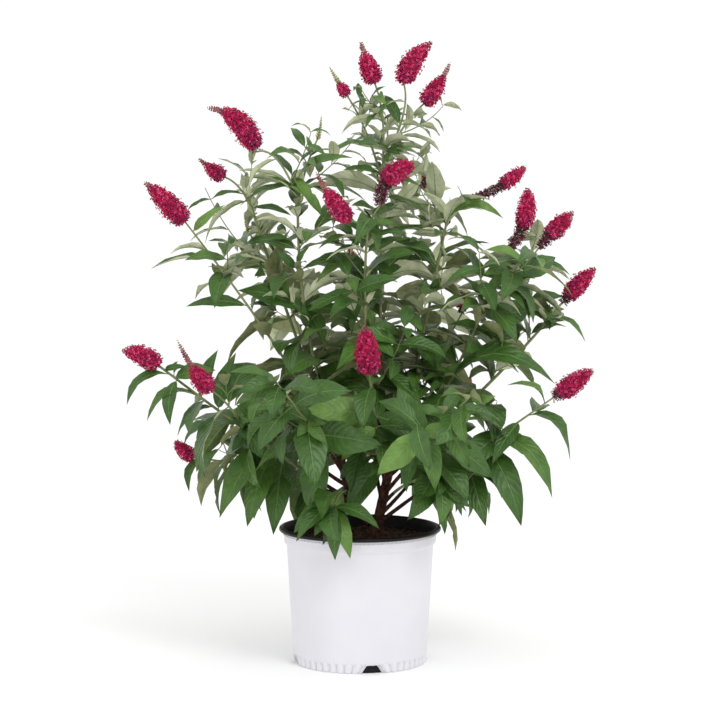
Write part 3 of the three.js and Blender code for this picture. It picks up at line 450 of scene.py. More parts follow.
# %% Buds, leaves and twigs
def crown_height(z):
    """How high a point sits in the crown: 0 low down, 1 at the top."""
    return clamp01((z - LEAF_LOW_Z) / (LEAF_HIGH_Z - LEAF_LOW_Z))


def heart_of(part, t):
    """The middle of a stem's own straight-sided tube at part t of its line."""
    place = part.steps * (t - part.start) / (1 - part.start)
    step = min(part.steps - 1, max(0, int(np.floor(place))))
    low, high = (point_on(part.line, mix(part.start, 1, k / part.steps)) for k in (step, step + 1))
    return mix(low, high, place - step)


def leaving(line, t, turn, spread):
    """The way out of a stem: along it by cos spread, sideways by sin spread."""
    heading = heading_on(line, t)
    out = line.side * np.cos(turn) + np.cross(heading, line.side) * np.sin(turn)
    return heading * np.cos(spread) + out * np.sin(spread)


def turned_about(v, axis, angle):
    """v turned about a unit axis by an angle (Rodrigues' formula)."""
    return (v * np.cos(angle) + np.cross(axis, v) * np.sin(angle)
            + axis * (axis @ v) * (1 - np.cos(angle)))


def outward(p):
    """The level way out from the crown's middle, shorter where that is near."""
    return np.array([p[0], p[1], 0]) / max(np.hypot(p[0], p[1]), CROWN_MIDDLE)


def settled(leaf, more_droop, more_roll, part):
    """A leaf with its chord, face and side, more droop and roll, part its length.
    Its face looks along the stem, up, and out of the crown to the light."""
    chord = unit(leaf.way - (leaf.droop + more_droop) * UP)
    face = leaf.heading + LEAF_FACE_LIFT * UP + LEAF_FACE_OUT * outward(leaf.root)
    face = unit(face - (face @ chord) * chord)
    face = turned_about(face, chord, leaf.roll + np.radians(more_roll))
    return SimpleNamespace(**{**vars(leaf), "chord": chord, "face": face,
                              "side": np.cross(chord, face), "length": leaf.length * part})


def on_leaf(leaf, u, v, h):
    """Part u along a leaf, part v across it, lifted by h of its length."""
    across = leaf.side * (v * LEAF_WIDTH * leaf.length / 2)
    return leaf.root + leaf.chord * (u * leaf.length) + across + leaf.face * (h * leaf.length)


def leaf_corners(leaf, start, width=1.0):
    """The five corners of a leaf block: root, tip, two edges and the ridge."""
    rise = start * LEAF_ARCH / LEAF_WIDEST if start > 0 else 0
    return np.array([
        on_leaf(leaf, start, 0, rise),
        on_leaf(leaf, 1, 0, 0),
        on_leaf(leaf, LEAF_WIDEST, width, LEAF_EDGE_ARCH),
        on_leaf(leaf, LEAF_WIDEST, -width, LEAF_EDGE_ARCH),
        on_leaf(leaf, LEAF_WIDEST, 0, LEAF_ARCH + LEAF_THICK)])


def leaf_block(leaf, start, width=1.0):
    """A leaf as one convex block, from part start of its length to its tip."""
    return block(leaf_corners(leaf, start, width), LEAF_FACES, LEAF_EDGES)


def try_leaf(plant, leaf):
    """Keep a leaf in the first way it settles clear of everything."""
    if leaf.twig is not None and not leaf.twig.kept:
        return
    for more_droop, more_roll, part in SETTLE:
        trial = settled(leaf, more_droop, more_roll, part)
        probes = [on_leaf(trial, u, v, LEAF_EDGE_ARCH) for u, v in LEAF_PROBES]
        if not clear_of_limbs(np.array([*leaf_corners(trial, 0)[1:], *probes])):
            continue
        trial.full, trial.body = leaf_block(trial, 0), leaf_block(trial, LEAF_NECK)
        if clear_of_growth(plant, trial.full, trial.body):
            plant.leaves.append(trial)
            leaf.kept = True
            return


def try_twig(plant, twig):
    """Keep a side twig if it is clear all along."""
    if not clear_of_limbs(point_on(twig.line, TWIG_PROBES)):
        return
    full, body = stem_blocks(twig), stem_blocks(twig, TWIG_NECK)
    if all(clear_of_growth(plant, whole, slim) for whole, slim in zip(full, body)):
        twig.kept, twig.full, twig.body = True, full, body
        plant.twigs.append(twig)


def dress(part, roll, twig):
    """Leaf pairs along one line, each pair turned a quarter from the last."""
    line, start = part.line, part.start
    height = crown_height(point_on(line, (start + 1) / 2)[2])
    pitch = mix(PITCH_LOW, PITCH_HIGH, height) * (TWIG_PITCH if twig else 1)
    first = start * line.length + FIRST_PAIR * pitch
    count = max(1, int(np.floor((line.length - first) / pitch + PAIR_ROUND_UP)))
    twist = 2 * np.pi * next(roll)
    buds = []
    for i in range(count):
        t = min(LAST_PAIR, (first + i * pitch) / line.length)
        turn = twist + np.pi / 2 * i + np.radians(TURN_RANGE * (next(roll) - 0.5))
        buds += bud_pair(part, t, turn, roll, twig)
        buds += bud_pair(part, t, turn + np.pi, roll, twig)
    return buds


def usual_droop(z):
    """How much leaves hang at a height: much low down, little high up."""
    return mix(DROOP_LOW, DROOP_HIGH, clamp01((z - DROOP_LOW_Z) / (DROOP_HIGH_Z - DROOP_LOW_Z)))


def bud_pair(part, t, turn, roll, twig):
    """One side of a leaf pair: its leaf, and now and then a twig from its axil."""
    root, heading = heart_of(part, t), heading_on(part.line, t)
    high = crown_height(root[2])
    spread = np.radians(mix(SPREAD_LOW, SPREAD_HIGH, high) + SPREAD_RANGE * (next(roll) - 0.5))
    droop = usual_droop(root[2]) * (DROOP_LEAST + next(roll))
    along = clamp01((t - part.start) / (1 - part.start))
    shorten = (1 - TIP_SHORTER * along * along) * (TWIG_LEAF if twig else 1)
    longer = 1 + LENGTH_RANGE * (next(roll) - 0.5)
    length = mix(LEAF_LOW, LEAF_HIGH, high) * shorten * longer
    tilt = np.radians(ROLL_RANGE * (next(roll) - 0.5))
    chance = next(roll)
    way = leaving(part.line, t, turn, spread)
    buds = [SimpleNamespace(kind="leaf", root=root, way=way, heading=heading, length=length,
                            droop=droop, roll=tilt, twig=twig, kept=False, part=part, t=t,
                            turn=turn, spread=spread)]
    if not twig and chance < TWIG_CHANCE and along < TWIG_LIMIT:
        lifted = min(LAST_PAIR, t + AXIL_LIFT / part.line.length)
        steeper = leaving(part.line, t, turn, spread * TWIG_SPREAD)
        buds += twig_buds(heart_of(part, lifted), steeper, length, roll)
    return buds


def twig_buds(root, way, length, roll):
    """A side twig: a short bent line out of an axil, then its own leaf pairs."""
    reach = TWIG_LENGTH * length * (TWIG_SHORTEST + TWIG_RANGE * next(roll))
    tip = root + way * (reach * TWIG_OUT) + UP * (reach * TWIG_RISE)
    line = bent_line(root, root + way * (reach * TWIG_KNEE), tip)
    twig = SimpleNamespace(kind="twig", line=line, start=0, steps=TWIG_STEPS, low=TWIG_RADIUS,
                           high=TWIG_TIP_RADIUS, kept=False)
    return [twig, *dress(twig, roll, twig)]


def grow_all():
    """All shoots grow together: each in turn opens one bud of its list."""
    for plant in plants:
        roll = dice(SHOOT_SEED * (plant.index + 1) + FIRST_SEED)
        plant.buds = [bud for part in plant.lines for bud in dress(part, roll, None)]
        for bud in plant.buds:
            bud.spray = plant.index
    for i in range(max(len(plant.buds) for plant in plants)):
        for plant in plants:
            if i < len(plant.buds):
                bud = plant.buds[i]
                (try_twig if bud.kind == "twig" else try_leaf)(plant, bud)


grow_all()
print("leaves of the solids", sum(len(p.leaves) for p in plants),
      "twigs", sum(len(p.twigs) for p in plants),
      "buds that stayed shut", sum(not b.kept for p in plants for b in p.buds))

# %% [markdown]
# ## Finer growth
# The solids leave out what is small: the leaves that would have crossed
# another, and the tuft of small leaves that a butterfly bush carries in nearly
# every axil.  More random leaves could fill the crown, but they would hide the
# way it grows.  So the same buds are offered again with slimmer blocks, which
# lets blades touch without their middles crossing, and many leaves then get a
# short shoot of small leaves in their axil.  The crown has openings that are too
# small for the solids to keep; the fine growth stays out of those as well.

# %% Second offer of the buds
SLIM, SLIM_START, FINE_CLEAR = 0.45, 0.2, 0.5
MORE_SETTLE = SETTLE + ((0.7, -40, 0.85), (-0.5, 35, 0.8), (0.3, 80, 0.7), (0.9, 0, 0.7))
FINE_SEED = 11
# The share of the fine buds that may open, at each of these heights.
FINE_HEIGHTS = (250, 450, 620, 720, 800, 870, 950)
FINE_SHARES = (0.45, 0.6, 0.75, 0.65, 0.75, 0.8, 0.35)
FINE_OPENINGS = [
    (35, 970, 10), (95, 960, 10), (-10, 930, 10), (50, 910, 15), (-205, 790, 15), (-235, 705, 15),
    (85, 675, 10), (160, 675, 15), (-245, 650, 15), (255, 600, 25), (-190, 580, 15), (-135, 565, 15),
    (70, 550, 15), (-155, 540, 15), (280, 500, 15), (280, 470, 15), (215, 415, 20), (-190, 295, 15),
    (-115, 280, 15),
]
OPENINGS = np.concatenate([OPENINGS, FINE_OPENINGS])
leaves = [leaf for plant in plants for leaf in plant.leaves]
slim_blocks = [leaf_block(leaf, SLIM_START, SLIM) for leaf in leaves]
rng = np.random.default_rng(FINE_SEED)


def wanted(root):
    """Whether a fine bud may open: a throw under the share for its height."""
    return rng.random() < np.interp(root[2], FINE_HEIGHTS, FINE_SHARES)


def offer_fine(leaf, ways):
    """Keep a leaf in the first way that is clear of limbs and slim blades."""
    for more_droop, more_roll, part in ways:
        trial = settled(leaf, more_droop, more_roll, part)
        slim = leaf_block(trial, SLIM_START, SLIM)
        probes = [on_leaf(trial, u, v, LEAF_EDGE_ARCH) for u, v in LEAF_PROBES]
        if not clear_of_limbs(np.array([*leaf_corners(trial, 0)[1:], *probes]), FINE_CLEAR):
            continue
        if clear_of(slim, slim_blocks, 0):
            leaves.append(trial)
            slim_blocks.append(slim)
            return True
    return False


for plant in plants:
    for bud in plant.buds:
        if bud.kept or (bud.kind == "leaf" and bud.twig is not None and not bud.twig.kept):
            continue
        if bud.kind == "leaf":
            bud.kept = wanted(bud.root) and offer_fine(bud, MORE_SETTLE)
        elif clear_of_limbs(point_on(bud.line, TWIG_PROBES), FINE_CLEAR):
            bud.kept = True
            plant.twigs.append(bud)
print("leaves with the second offer", len(leaves), "twigs", sum(len(p.twigs) for p in plants))

# %% Small shoots in the axils
TUFT_CHANCE_LOW, TUFT_CHANCE_HIGH, TUFT_SPREAD = 0.3, 0.62, 0.6
TUFT_FROM, TUFT_TO = 300, 550
TUFT_LENGTH, TUFT_LEAF = (0.1, 0.3), (0.26, 0.46)
TUFT_RADIUS, TUFT_TIP_RADIUS = 0.9, 0.5
TUFT_KNEE, TUFT_RISE, TUFT_STRAY, TUFT_PAIRS = 0.6, 0.2, 0.12, (0.55, 0.96)
TUFT_SPREADS, TUFT_DROOPS, TILTS, TUFT_TRIES = (38, 62), (0.3, 0.9), (-0.4, 0.4), 4
tufts = []


def grow_tuft(bud):
    """A short shoot between stem and leaf, with a leaf pair halfway and one at its end."""
    reach = bud.length * rng.uniform(*TUFT_LENGTH)
    way = leaving(bud.part.line, bud.t, bud.turn, bud.spread * TUFT_SPREAD)
    way = unit(way + rng.normal(0, TUFT_STRAY, 3))
    tip = bud.root + way * reach + UP * (TUFT_RISE * reach)
    if not clear_of_limbs(np.array([mix(bud.root, tip, TUFT_KNEE), tip]), FINE_CLEAR):
        return
    line = bent_line(bud.root, bud.root + way * (TUFT_KNEE * reach), tip)
    grown = 0
    twist = rng.uniform(0, np.pi)
    for i, t in enumerate(TUFT_PAIRS):
        for turn in (twist + i * np.pi / 2, twist + i * np.pi / 2 + np.pi):
            spread = np.radians(rng.uniform(*TUFT_SPREADS))
            small = SimpleNamespace(
                root=point_on(line, t), way=leaving(line, t, turn, spread),
                heading=heading_on(line, t), droop=bud.droop * rng.uniform(*TUFT_DROOPS),
                length=bud.length * rng.uniform(*TUFT_LEAF), roll=rng.uniform(*TILTS),
                spray=bud.spray)
            grown += offer_fine(small, MORE_SETTLE[:TUFT_TRIES])
    if grown:
        tufts.append(SimpleNamespace(line=line, low=TUFT_RADIUS, high=TUFT_TIP_RADIUS))


for plant in plants:
    for bud in plant.buds:
        if bud.kind == "leaf" and bud.kept and bud.twig is None:
            higher = clamp01((bud.root[2] - TUFT_FROM) / (TUFT_TO - TUFT_FROM))
            chance = mix(TUFT_CHANCE_LOW, TUFT_CHANCE_HIGH, higher)
            if rng.random() < chance and wanted(bud.root):
                grow_tuft(bud)
print("leaves with the tufts", len(leaves), "tufts", len(tufts))

# %% Rosettes where a shoot ends without a spike
ROSETTE_PAIRS, ROSETTE_LEAF, ROSETTE_FROM, ROSETTE_REACH = 3, 0.72, 0.94, 0.06
ROSETTE_SPREADS, ROSETTE_CLOSER = (46, 70), 12
ROSETTE_LENGTHS, ROSETTE_SHORTER = (0.8, 1.1), 0.16


def grow_rosette(part, spray):
    """Close pairs at the end of a line, the last ones smallest and steepest."""
    end = part.line.v2
    size = mix(LEAF_LOW, LEAF_HIGH, crown_height(end[2])) * ROSETTE_LEAF
    twist = rng.uniform(0, np.pi)
    for i in range(ROSETTE_PAIRS):
        t = ROSETTE_FROM + ROSETTE_REACH * i / (ROSETTE_PAIRS - 1)
        for turn in (twist + i * np.pi / 2, twist + i * np.pi / 2 + np.pi):
            spread = np.radians(rng.uniform(*ROSETTE_SPREADS) - ROSETTE_CLOSER * i)
            length = size * rng.uniform(*ROSETTE_LENGTHS) * (1 - ROSETTE_SHORTER * i)
            offer_fine(SimpleNamespace(
                root=point_on(part.line, t), way=leaving(part.line, t, turn, spread),
                heading=heading_on(part.line, t), droop=usual_droop(end[2]), length=length,
                roll=rng.uniform(*TILTS), spray=spray), MORE_SETTLE)


for plant in plants:
    for part in plant.lines:
        if not part.spike:
            grow_rosette(part, plant.index)
print("leaves with the rosettes", len(leaves))

# %% [markdown]
# ## Long leaves placed one by one
# Where the buds of a stem found no room, the rule leaves a stretch of it bare.
# A freer rule would fill that stretch with small leaves, but there a grown
# bush carries single long ones that arch over.  These few are placed one by
# one: the shoot, which of its lines (0 is the main one), how far along that
# the leaf stands, where its tip hangs, which way its face looks, and how high
# its midrib arches over the straight line between the two ends.

# %% Long leaves
LONG_LEAF_WIDE = 0.7
LONG_LEAVES = [
    ("low_right", 0, 0.6, (212, -100, 250), (0, -1, 0.4), 0.12),
    ("low_right", 0, 0.66, (152, -100, 326), (0, -1, 0.5), 0.12),
    ("low_right", 0, 0.7, (272, -100, 250), (0.2, -1, 0.5), 0.18),
    ("low_right", 0, 0.76, (324, -96, 298), (0.3, -0.9, 0.6), 0.32),
    ("low_right", 0, 0.86, (222, -104, 356), (-0.2, -1, 0.5), 0.12),
    ("low_right", 0, 0.9, (354, -96, 362), (0.3, -0.9, 0.6), 0.42),
    ("low_right", 0, 0.97, (248, -84, 488), (0, -0.6, 0.8), 0.26),
    ("upper_right", 0, 0.62, (330, -60, 488), (0.2, -0.6, 0.8), 0.34),
    ("reach_right", 0, 0.84, (388, 8, 554), (0.3, -0.6, 0.9), 0.32),
    ("high_right", 0, 0.98, (245, 0, 766), (0.2, -0.6, 0.9), 0.34),
    ("high_left", 2, 0.55, (-158, -40, 868), (-0.2, -0.7, 0.8), 0.28),
    ("upper_left", 0, 0.97, (-118, 28, 770), (0, -0.5, 1), 0.12),
    ("reach_left", 0, 0.97, (-228, -40, 790), (0, -1, 0.4), 0.12),
    ("reach_left", 0, 0.88, (-354, -40, 682), (0, -0.3, 1), 0.1),
    ("reach_left", 0, 0.72, (-296, -30, 617), (0, -0.8, 0.9), 0.12),
    ("low_left", 0, 0.96, (-394, -72, 453), (-0.2, -0.4, 1), 0.26),
    ("low_left", 0, 0.98, (-292, -70, 518), (0, -1, 0.4), 0.15),
    ("low_left", 0, 0.93, (-320, -84, 420), (-0.4, -1, 0.4), 0.24),
    ("low_left", 0, 0.84, (-360, -76, 426), (-0.3, -0.3, 1), 0.3),
    ("low_left", 0, 0.84, (-240, -68, 546), (-0.3, -1, 0.1), 0.1),
    ("low_left", 0, 0.78, (-308, -84, 402), (-0.2, -0.6, 0.8), 0.24),
    ("low_left", 0, 0.76, (-209, -72, 542), (-0.3, -1, 0.1), 0.1),
    ("low_left", 0, 0.55, (-236, -112, 266), (-0.2, -1, 0.4), 0.12),
    ("low_left", 0, 0.5, (-190, -104, 250), (-0.2, -1, 0.4), 0.1),
    ("low_left", 0, 0.45, (-146, -104, 236), (0, -1, 0.4), 0.1),
    ("lowest_left", 0, 0.92, (-294, -12, 296), (-1, -0.6, 0.4), 0.3),
    ("skirt_left", 0, 0.96, (-105, -200, 240), (-0.2, -0.8, 0.7), 0.16),
    ("skirt_left", 0, 0.99, (-41, -192, 208), (0, -1, 0.3), 0.12),
    ("skirt_left", 0, 0.97, (-16, -188, 210), (0.3, -1, 0.3), 0.12),
    ("skirt_left", 0, 0.98, (32, -204, 262), (0.2, -0.7, 0.9), 0.16),
    ("skirt_left", 0, 0.94, (-94, -190, 288), (-0.1, -0.6, 1), 0.14),
]


def long_leaf(plant, number, t, tip, look, arch):
    """A leaf from a point of one of the shoot's lines to its tip, its face turned one way."""
    root = point_on(plant.lines[number].line, t)
    reach = np.array(tip) - root
    chord = unit(reach)
    face = np.array(look, float)
    face = unit(face - (face @ chord) * chord)
    leaves.append(SimpleNamespace(root=root, chord=chord, face=face, side=np.cross(chord, face),
                                  length=np.linalg.norm(reach), spray=plant.index, arch=arch,
                                  wide=LONG_LEAF_WIDE))


for name, number, t, tip, look, arch in LONG_LEAVES:
    plant = next(p for p in plants if SHOOTS[p.index].name == name)
    long_leaf(plant, number, t, tip, look, arch)
print("leaves with the long ones", len(leaves))

# %% [markdown]
# ## Room before two spikes
# The two spikes at the right edge stand free, with no leaf before them.  More
# openings could keep that place free, but an opening reaches through the whole
# crown.  So a leaf is left out only if its middle or its outer part comes about
# as far forward as the nearer spike, and close to one of them in x and z.

# %% Leaves before the two spikes are left out
SPIKE_PLACES = np.array([(292, 772), (303, 752), (345, 745)])
SPIKE_ROOM, SPIKE_FRONT, LEAF_PARTS = 24, -30, (0.5, 0.75)


def before_a_spike(leaf):
    """Whether the middle or the outer part of a leaf lies in front of the level
    SPIKE_FRONT, and less than the room from one of the places."""
    for part in LEAF_PARTS:
        x, y, z = leaf.root + leaf.chord * (leaf.length * part)
        if y < SPIKE_FRONT and np.hypot(*(SPIKE_PLACES - (x, z)).T).min() < SPIKE_ROOM:
            return True
    return False


leaves = [leaf for leaf in leaves if not before_a_spike(leaf)]
print("leaves beside the spikes", len(leaves))

# %% [markdown]
# ## Ends of the twigs
# Where a twig's outer leaves found no room, its bare end would stick out.  It
# could stay as a dry tip, but a bush in full leaf shows few of those.  So a twig
# stops at its last leaf, and a twig without leaves is left out.

# %% Twigs end with their last leaf
TWIG_WHOLE_FROM = 0.85
for plant in plants:
    for twig in plant.twigs:
        places = [leaf.t for leaf in leaves if getattr(leaf, "twig", None) is twig]
        last = max(places, default=0)
        twig.ends = 1 if last >= TWIG_WHOLE_FROM else last
    plant.twigs = [twig for twig in plant.twigs if twig.ends > 0]
print("twigs with leaves", sum(len(p.twigs) for p in plants))

# %% [markdown]
# ## Putting meshes in the scene
# Blender can join thousands of objects, but that takes minutes.  It is quicker
# to work out all corners of all leaves as one array and hand it over once.
# Every mesh here is made of triangles, with its place in its own corners.

# %% Mesh helpers
def grid_faces(rows, cols, wrap=False):
    """The triangles of a grid of corners: rows by cols, joined round if wrap."""
    r, c = np.meshgrid(np.arange(rows - 1), np.arange(cols if wrap else cols - 1), indexing="ij")
    a, b = r * cols + c, r * cols + (c + 1) % cols
    a, b = a.ravel(), b.ravel()
    return np.concatenate([np.stack([a, b, b + cols], 1), np.stack([a, b + cols, a + cols], 1)])


def repeated(faces, copies, corners):
    """The same faces for many copies that have that many corners each."""
    return (faces[None] + (np.arange(copies) * corners)[:, None, None]).reshape(-1, 3)


def gathered(pieces):
    """Several (corners, faces) pairs as one pair."""
    starts = np.cumsum([0] + [len(v) for v, _ in pieces])
    return (np.concatenate([v for v, _ in pieces]),
            np.concatenate([f + s for (_, f), s in zip(pieces, starts)]))


def put(name, corners, faces, material, slot, replaced=(), uv=None, smooth=True):
    """A mesh from arrays of corners in millimetres and triangles; uv is per corner."""
    mesh = bpy.data.meshes.new(name)
    mesh.vertices.add(len(corners))
    mesh.vertices.foreach_set("co", (np.asarray(corners) * MM).astype(np.float32).ravel())
    mesh.loops.add(len(faces) * 3)
    mesh.loops.foreach_set("vertex_index", faces.astype(np.int32).ravel())
    mesh.polygons.add(len(faces))
    mesh.polygons.foreach_set("loop_start", np.arange(0, len(faces) * 3, 3, dtype=np.int32))
    mesh.polygons.foreach_set("use_smooth", np.full(len(faces), smooth))
    if uv is not None:
        layer = mesh.uv_layers.new(name="UVMap")
        layer.data.foreach_set("uv", uv[faces.ravel()].astype(np.float32).ravel())
    mesh.update(calc_edges=True)
    mesh.materials.append(material)
    piece = bpy.data.objects.new(name, mesh)
    bpy.context.collection.objects.link(piece)
    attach(piece, "root")
    if replaced:
        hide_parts(*replaced)
    print(name, "triangles", len(faces))
    return piece


# %% [markdown]
# ## Finishes
# Leaf, felt, bark, plastic and soil each get a shader of their own around one
# Principled BSDF.  What several of them share is built once as a node group:
# a mottle that makes a colour a little lighter and darker from spot to spot, a
# fine grain that roughens a surface, and the veins of a leaf.

# %% Node helpers
def new_group(name, inputs, outputs):
    """An empty node group with float inputs (name, default) and typed outputs."""
    tree = bpy.data.node_groups.new(name, "ShaderNodeTree")
    for label, default in inputs:
        kind = "NodeSocketColor" if isinstance(default, tuple) else "NodeSocketFloat"
        tree.interface.new_socket(label, in_out="INPUT", socket_type=kind).default_value = default
    for label, kind in outputs:
        tree.interface.new_socket(label, in_out="OUTPUT", socket_type=kind)
    start = tree.nodes.new("NodeGroupInput")
    end = tree.nodes.new("NodeGroupOutput")
    return tree, start.outputs, end.inputs


def node(tree, kind, inputs=(), **settings):
    """A node with its settings, its plain input values and its links."""
    made = tree.nodes.new(kind)
    for key, value in settings.items():
        setattr(made, key, value)
    for key, value in dict(inputs).items():
        if isinstance(value, bpy.types.NodeSocket):
            tree.links.new(value, made.inputs[key])
        else:
            made.inputs[key].default_value = value
    return made


def maths(tree, operation, *values, clamp=False):
    """One step of reckoning with values or links; clamp keeps it from 0 to 1."""
    made = node(tree, "ShaderNodeMath", dict(enumerate(values)), operation=operation,
                use_clamp=clamp)
    return made.outputs[0]


def mixed(tree, factor, a, b):
    """The colour between a and b; a colour mix has them at inputs 6 and 7."""
    return node(tree, "ShaderNodeMix", {0: factor, 6: a, 7: b}, data_type="RGBA").outputs[2]


def place(tree):
    """Where a point lies in the piece's own space."""
    return tree.nodes.new("ShaderNodeTexCoord").outputs["Object"]


# %% Mottle: the second colour by 0.5 + hardness spread (noise - 0.5), kept from 0 to 1
MOTTLE_HARDNESS = 4.0
mottle, given, result = new_group(
    "mottle",
    [("Colour", (0.5, 0.5, 0.5, 1)), ("Other", (0.4, 0.4, 0.4, 1)), ("Scale", 40.0), ("Spread", 0.5)],
    [("Colour", "NodeSocketColor"), ("Mask", "NodeSocketFloat")])
noise = node(mottle, "ShaderNodeTexNoise", {"Vector": place(mottle), "Scale": given["Scale"],
                                            "Detail": 3.0, "Roughness": 0.55})
spread = maths(mottle, "MULTIPLY", maths(mottle, "SUBTRACT", noise.outputs["Fac"], 0.5), given["Spread"])
mask = maths(mottle, "ADD", maths(mottle, "MULTIPLY", spread, MOTTLE_HARDNESS), 0.5, clamp=True)
mottle.links.new(mixed(mottle, mask, given["Colour"], given["Other"]), result["Colour"])
mottle.links.new(mask, result["Mask"])

# %% Grain: a fine roughness of the surface
grain, given, result = new_group(
    "grain", [("Scale", 900.0), ("Strength", 0.3), ("Depth", 0.0004)],
    [("Normal", "NodeSocketVector")])
noise = node(grain, "ShaderNodeTexNoise", {"Vector": place(grain), "Scale": given["Scale"], "Detail": 2.0})
bump = node(grain, "ShaderNodeBump", {"Strength": given["Strength"], "Distance": given["Depth"],
                                      "Height": noise.outputs["Fac"]})
grain.links.new(bump.outputs[0], result["Normal"])

# %% Veins of a leaf: side veins leave the midrib at a slant and curve forward
# With `across` 0 at the midrib and 1 at the margin, a side vein runs where
# pairs (along - slant across^curve) + stray noise is a whole number and a half.
VEIN_PAIRS, VEIN_SLANT, VEIN_CURVE, VEIN_STRAY = 9.0, 0.24, 1.3, 0.9
SIDE_VEIN_SHARE, MID_VEIN_HALF = 0.6, 0.1
veins, given, result = new_group(
    "veins", [("Width", 0.16)], [("Mask", "NodeSocketFloat"), ("Relief", "NodeSocketFloat")])
uv = node(veins, "ShaderNodeUVMap", uv_map="UVMap")
split = node(veins, "ShaderNodeSeparateXYZ", {0: uv.outputs[0]})
across = maths(veins, "ABSOLUTE", maths(veins, "SUBTRACT", split.outputs["Y"], 0.5))
across = maths(veins, "MULTIPLY", across, 2.0)
bent = maths(veins, "MULTIPLY", maths(veins, "POWER", across, VEIN_CURVE), VEIN_SLANT)
along = maths(veins, "MULTIPLY", maths(veins, "SUBTRACT", split.outputs["X"], bent), VEIN_PAIRS)
stray = node(veins, "ShaderNodeTexNoise", {"Vector": place(veins), "Scale": 70.0, "Detail": 1.0})
along = maths(veins, "ADD", along, maths(veins, "MULTIPLY", stray.outputs["Fac"], VEIN_STRAY))
from_vein = maths(veins, "ABSOLUTE", maths(veins, "SUBTRACT", maths(veins, "FRACT", along), 0.5))
side_vein = maths(veins, "SUBTRACT", 1.0, maths(veins, "DIVIDE", from_vein, given["Width"]), clamp=True)
mid_vein = maths(veins, "SUBTRACT", 1.0, maths(veins, "DIVIDE", across, MID_VEIN_HALF), clamp=True)
mask = maths(veins, "MAXIMUM", maths(veins, "MULTIPLY", side_vein, SIDE_VEIN_SHARE), mid_vein)
veins.links.new(mask, result["Mask"])
hollow = maths(veins, "SUBTRACT", 1.0, maths(veins, "MULTIPLY", from_vein, 2.0))
swell = maths(veins, "SUBTRACT", 1.0, maths(veins, "MULTIPLY", hollow, hollow))
veins.links.new(maths(veins, "SUBTRACT", swell, mid_vein), result["Relief"])

# %% Blade: mottled colour with lighter veins, and the swellings between them
FINE_RELIEF = 0.5
blade, given, result = new_group(
    "blade",
    [("Colour", (0.5, 0.5, 0.5, 1)), ("Other", (0.4, 0.4, 0.4, 1)), ("Vein", (0.6, 0.6, 0.6, 1)),
     ("Share", 0.3)],
    [("Colour", "NodeSocketColor"), ("Height", "NodeSocketFloat")])
spots = node(blade, "ShaderNodeGroup", {"Colour": given["Colour"], "Other": given["Other"],
                                        "Scale": 55.0, "Spread": 0.6}, node_tree=mottle)
lines = node(blade, "ShaderNodeGroup", {"Width": 0.17}, node_tree=veins)
share = maths(blade, "MULTIPLY", lines.outputs["Mask"], given["Share"])
blade.links.new(mixed(blade, share, spots.outputs["Colour"], given["Vein"]), result["Colour"])
fine = node(blade, "ShaderNodeTexNoise", {"Vector": place(blade), "Scale": 300.0, "Detail": 2.0})
fine_height = maths(blade, "MULTIPLY", fine.outputs["Fac"], FINE_RELIEF)
blade.links.new(maths(blade, "ADD", lines.outputs["Relief"], fine_height), result["Height"])


# %% Materials
def srgb(r, g, b):
    """A colour of 0 to 255 display values as the linear values shaders use."""
    c = np.array([r, g, b]) / 255
    linear = np.where(c <= 0.04045, c / 12.92, ((c + 0.055) / 1.055) ** 2.4)
    return (*map(float, linear), 1.0)


def new_material(name, roughness, specular=0.5):
    """A material with one Principled BSDF, and its node tree."""
    material = bpy.data.materials.new(name)
    material.use_nodes = True
    tree = material.node_tree
    shader = tree.nodes["Principled BSDF"]
    shader.inputs["Roughness"].default_value = roughness
    shader.inputs["Specular IOR Level"].default_value = specular
    return material, tree, shader


def mottled(tree, shader, colour, other, scale, spread):
    """Feed the base colour from the mottle group."""
    made = node(tree, "ShaderNodeGroup", {"Colour": colour, "Other": other, "Scale": scale,
                                          "Spread": spread}, node_tree=mottle)
    tree.links.new(made.outputs["Colour"], shader.inputs["Base Color"])


def grained(tree, shader, scale, strength, depth):
    """Feed the normal from the grain group."""
    made = node(tree, "ShaderNodeGroup", {"Scale": scale, "Strength": strength, "Depth": depth},
                node_tree=grain)
    tree.links.new(made.outputs["Normal"], shader.inputs["Normal"])


def leaf_material(name, colour, other, vein, roughness, vein_share, depth):
    """Green or felt with the blade's colour and relief; depth is in metres."""
    material, tree, shader = new_material(name, roughness, 0.4)
    made = node(tree, "ShaderNodeGroup", {"Colour": srgb(*colour), "Other": srgb(*other),
                                          "Vein": srgb(*vein), "Share": vein_share}, node_tree=blade)
    tree.links.new(made.outputs["Colour"], shader.inputs["Base Color"])
    bump = node(tree, "ShaderNodeBump", {"Strength": 0.6, "Distance": depth,
                                         "Height": made.outputs["Height"]})
    tree.links.new(bump.outputs[0], shader.inputs["Normal"])
    return material


# Each row: the colour, that of its spots, that of its veins, and the roughness.
GREEN_ROWS = {
    "deep": ((64, 101, 37), (48, 80, 28), (88, 120, 56), 0.4),
    "mid": ((80, 117, 46), (60, 94, 35), (106, 136, 72), 0.4),
    "fresh": ((104, 141, 61), (82, 116, 48), (134, 160, 92), 0.44),
}
FELT_ROWS = {
    # shaded is painted shade: a darker olive for the undersides low in the crown.
    "shaded": ((112, 132, 80), (86, 106, 58), (148, 160, 112), 0.7),
    "old": ((160, 164, 118), (126, 132, 88), (190, 192, 150), 0.8),
    "young": ((222, 225, 194), (186, 194, 150), (236, 236, 210), 0.85),
}
GREEN_VEINS, GREEN_DEPTH, FELT_VEINS, FELT_DEPTH = 0.3, 0.0011, 0.4, 0.0005
GREENS = {name: leaf_material(f"leaf_{name}", *row, GREEN_VEINS, GREEN_DEPTH)
          for name, row in GREEN_ROWS.items()}
FELTS = {name: leaf_material(f"felt_{name}", *row, FELT_VEINS, FELT_DEPTH)
         for name, row in FELT_ROWS.items()}
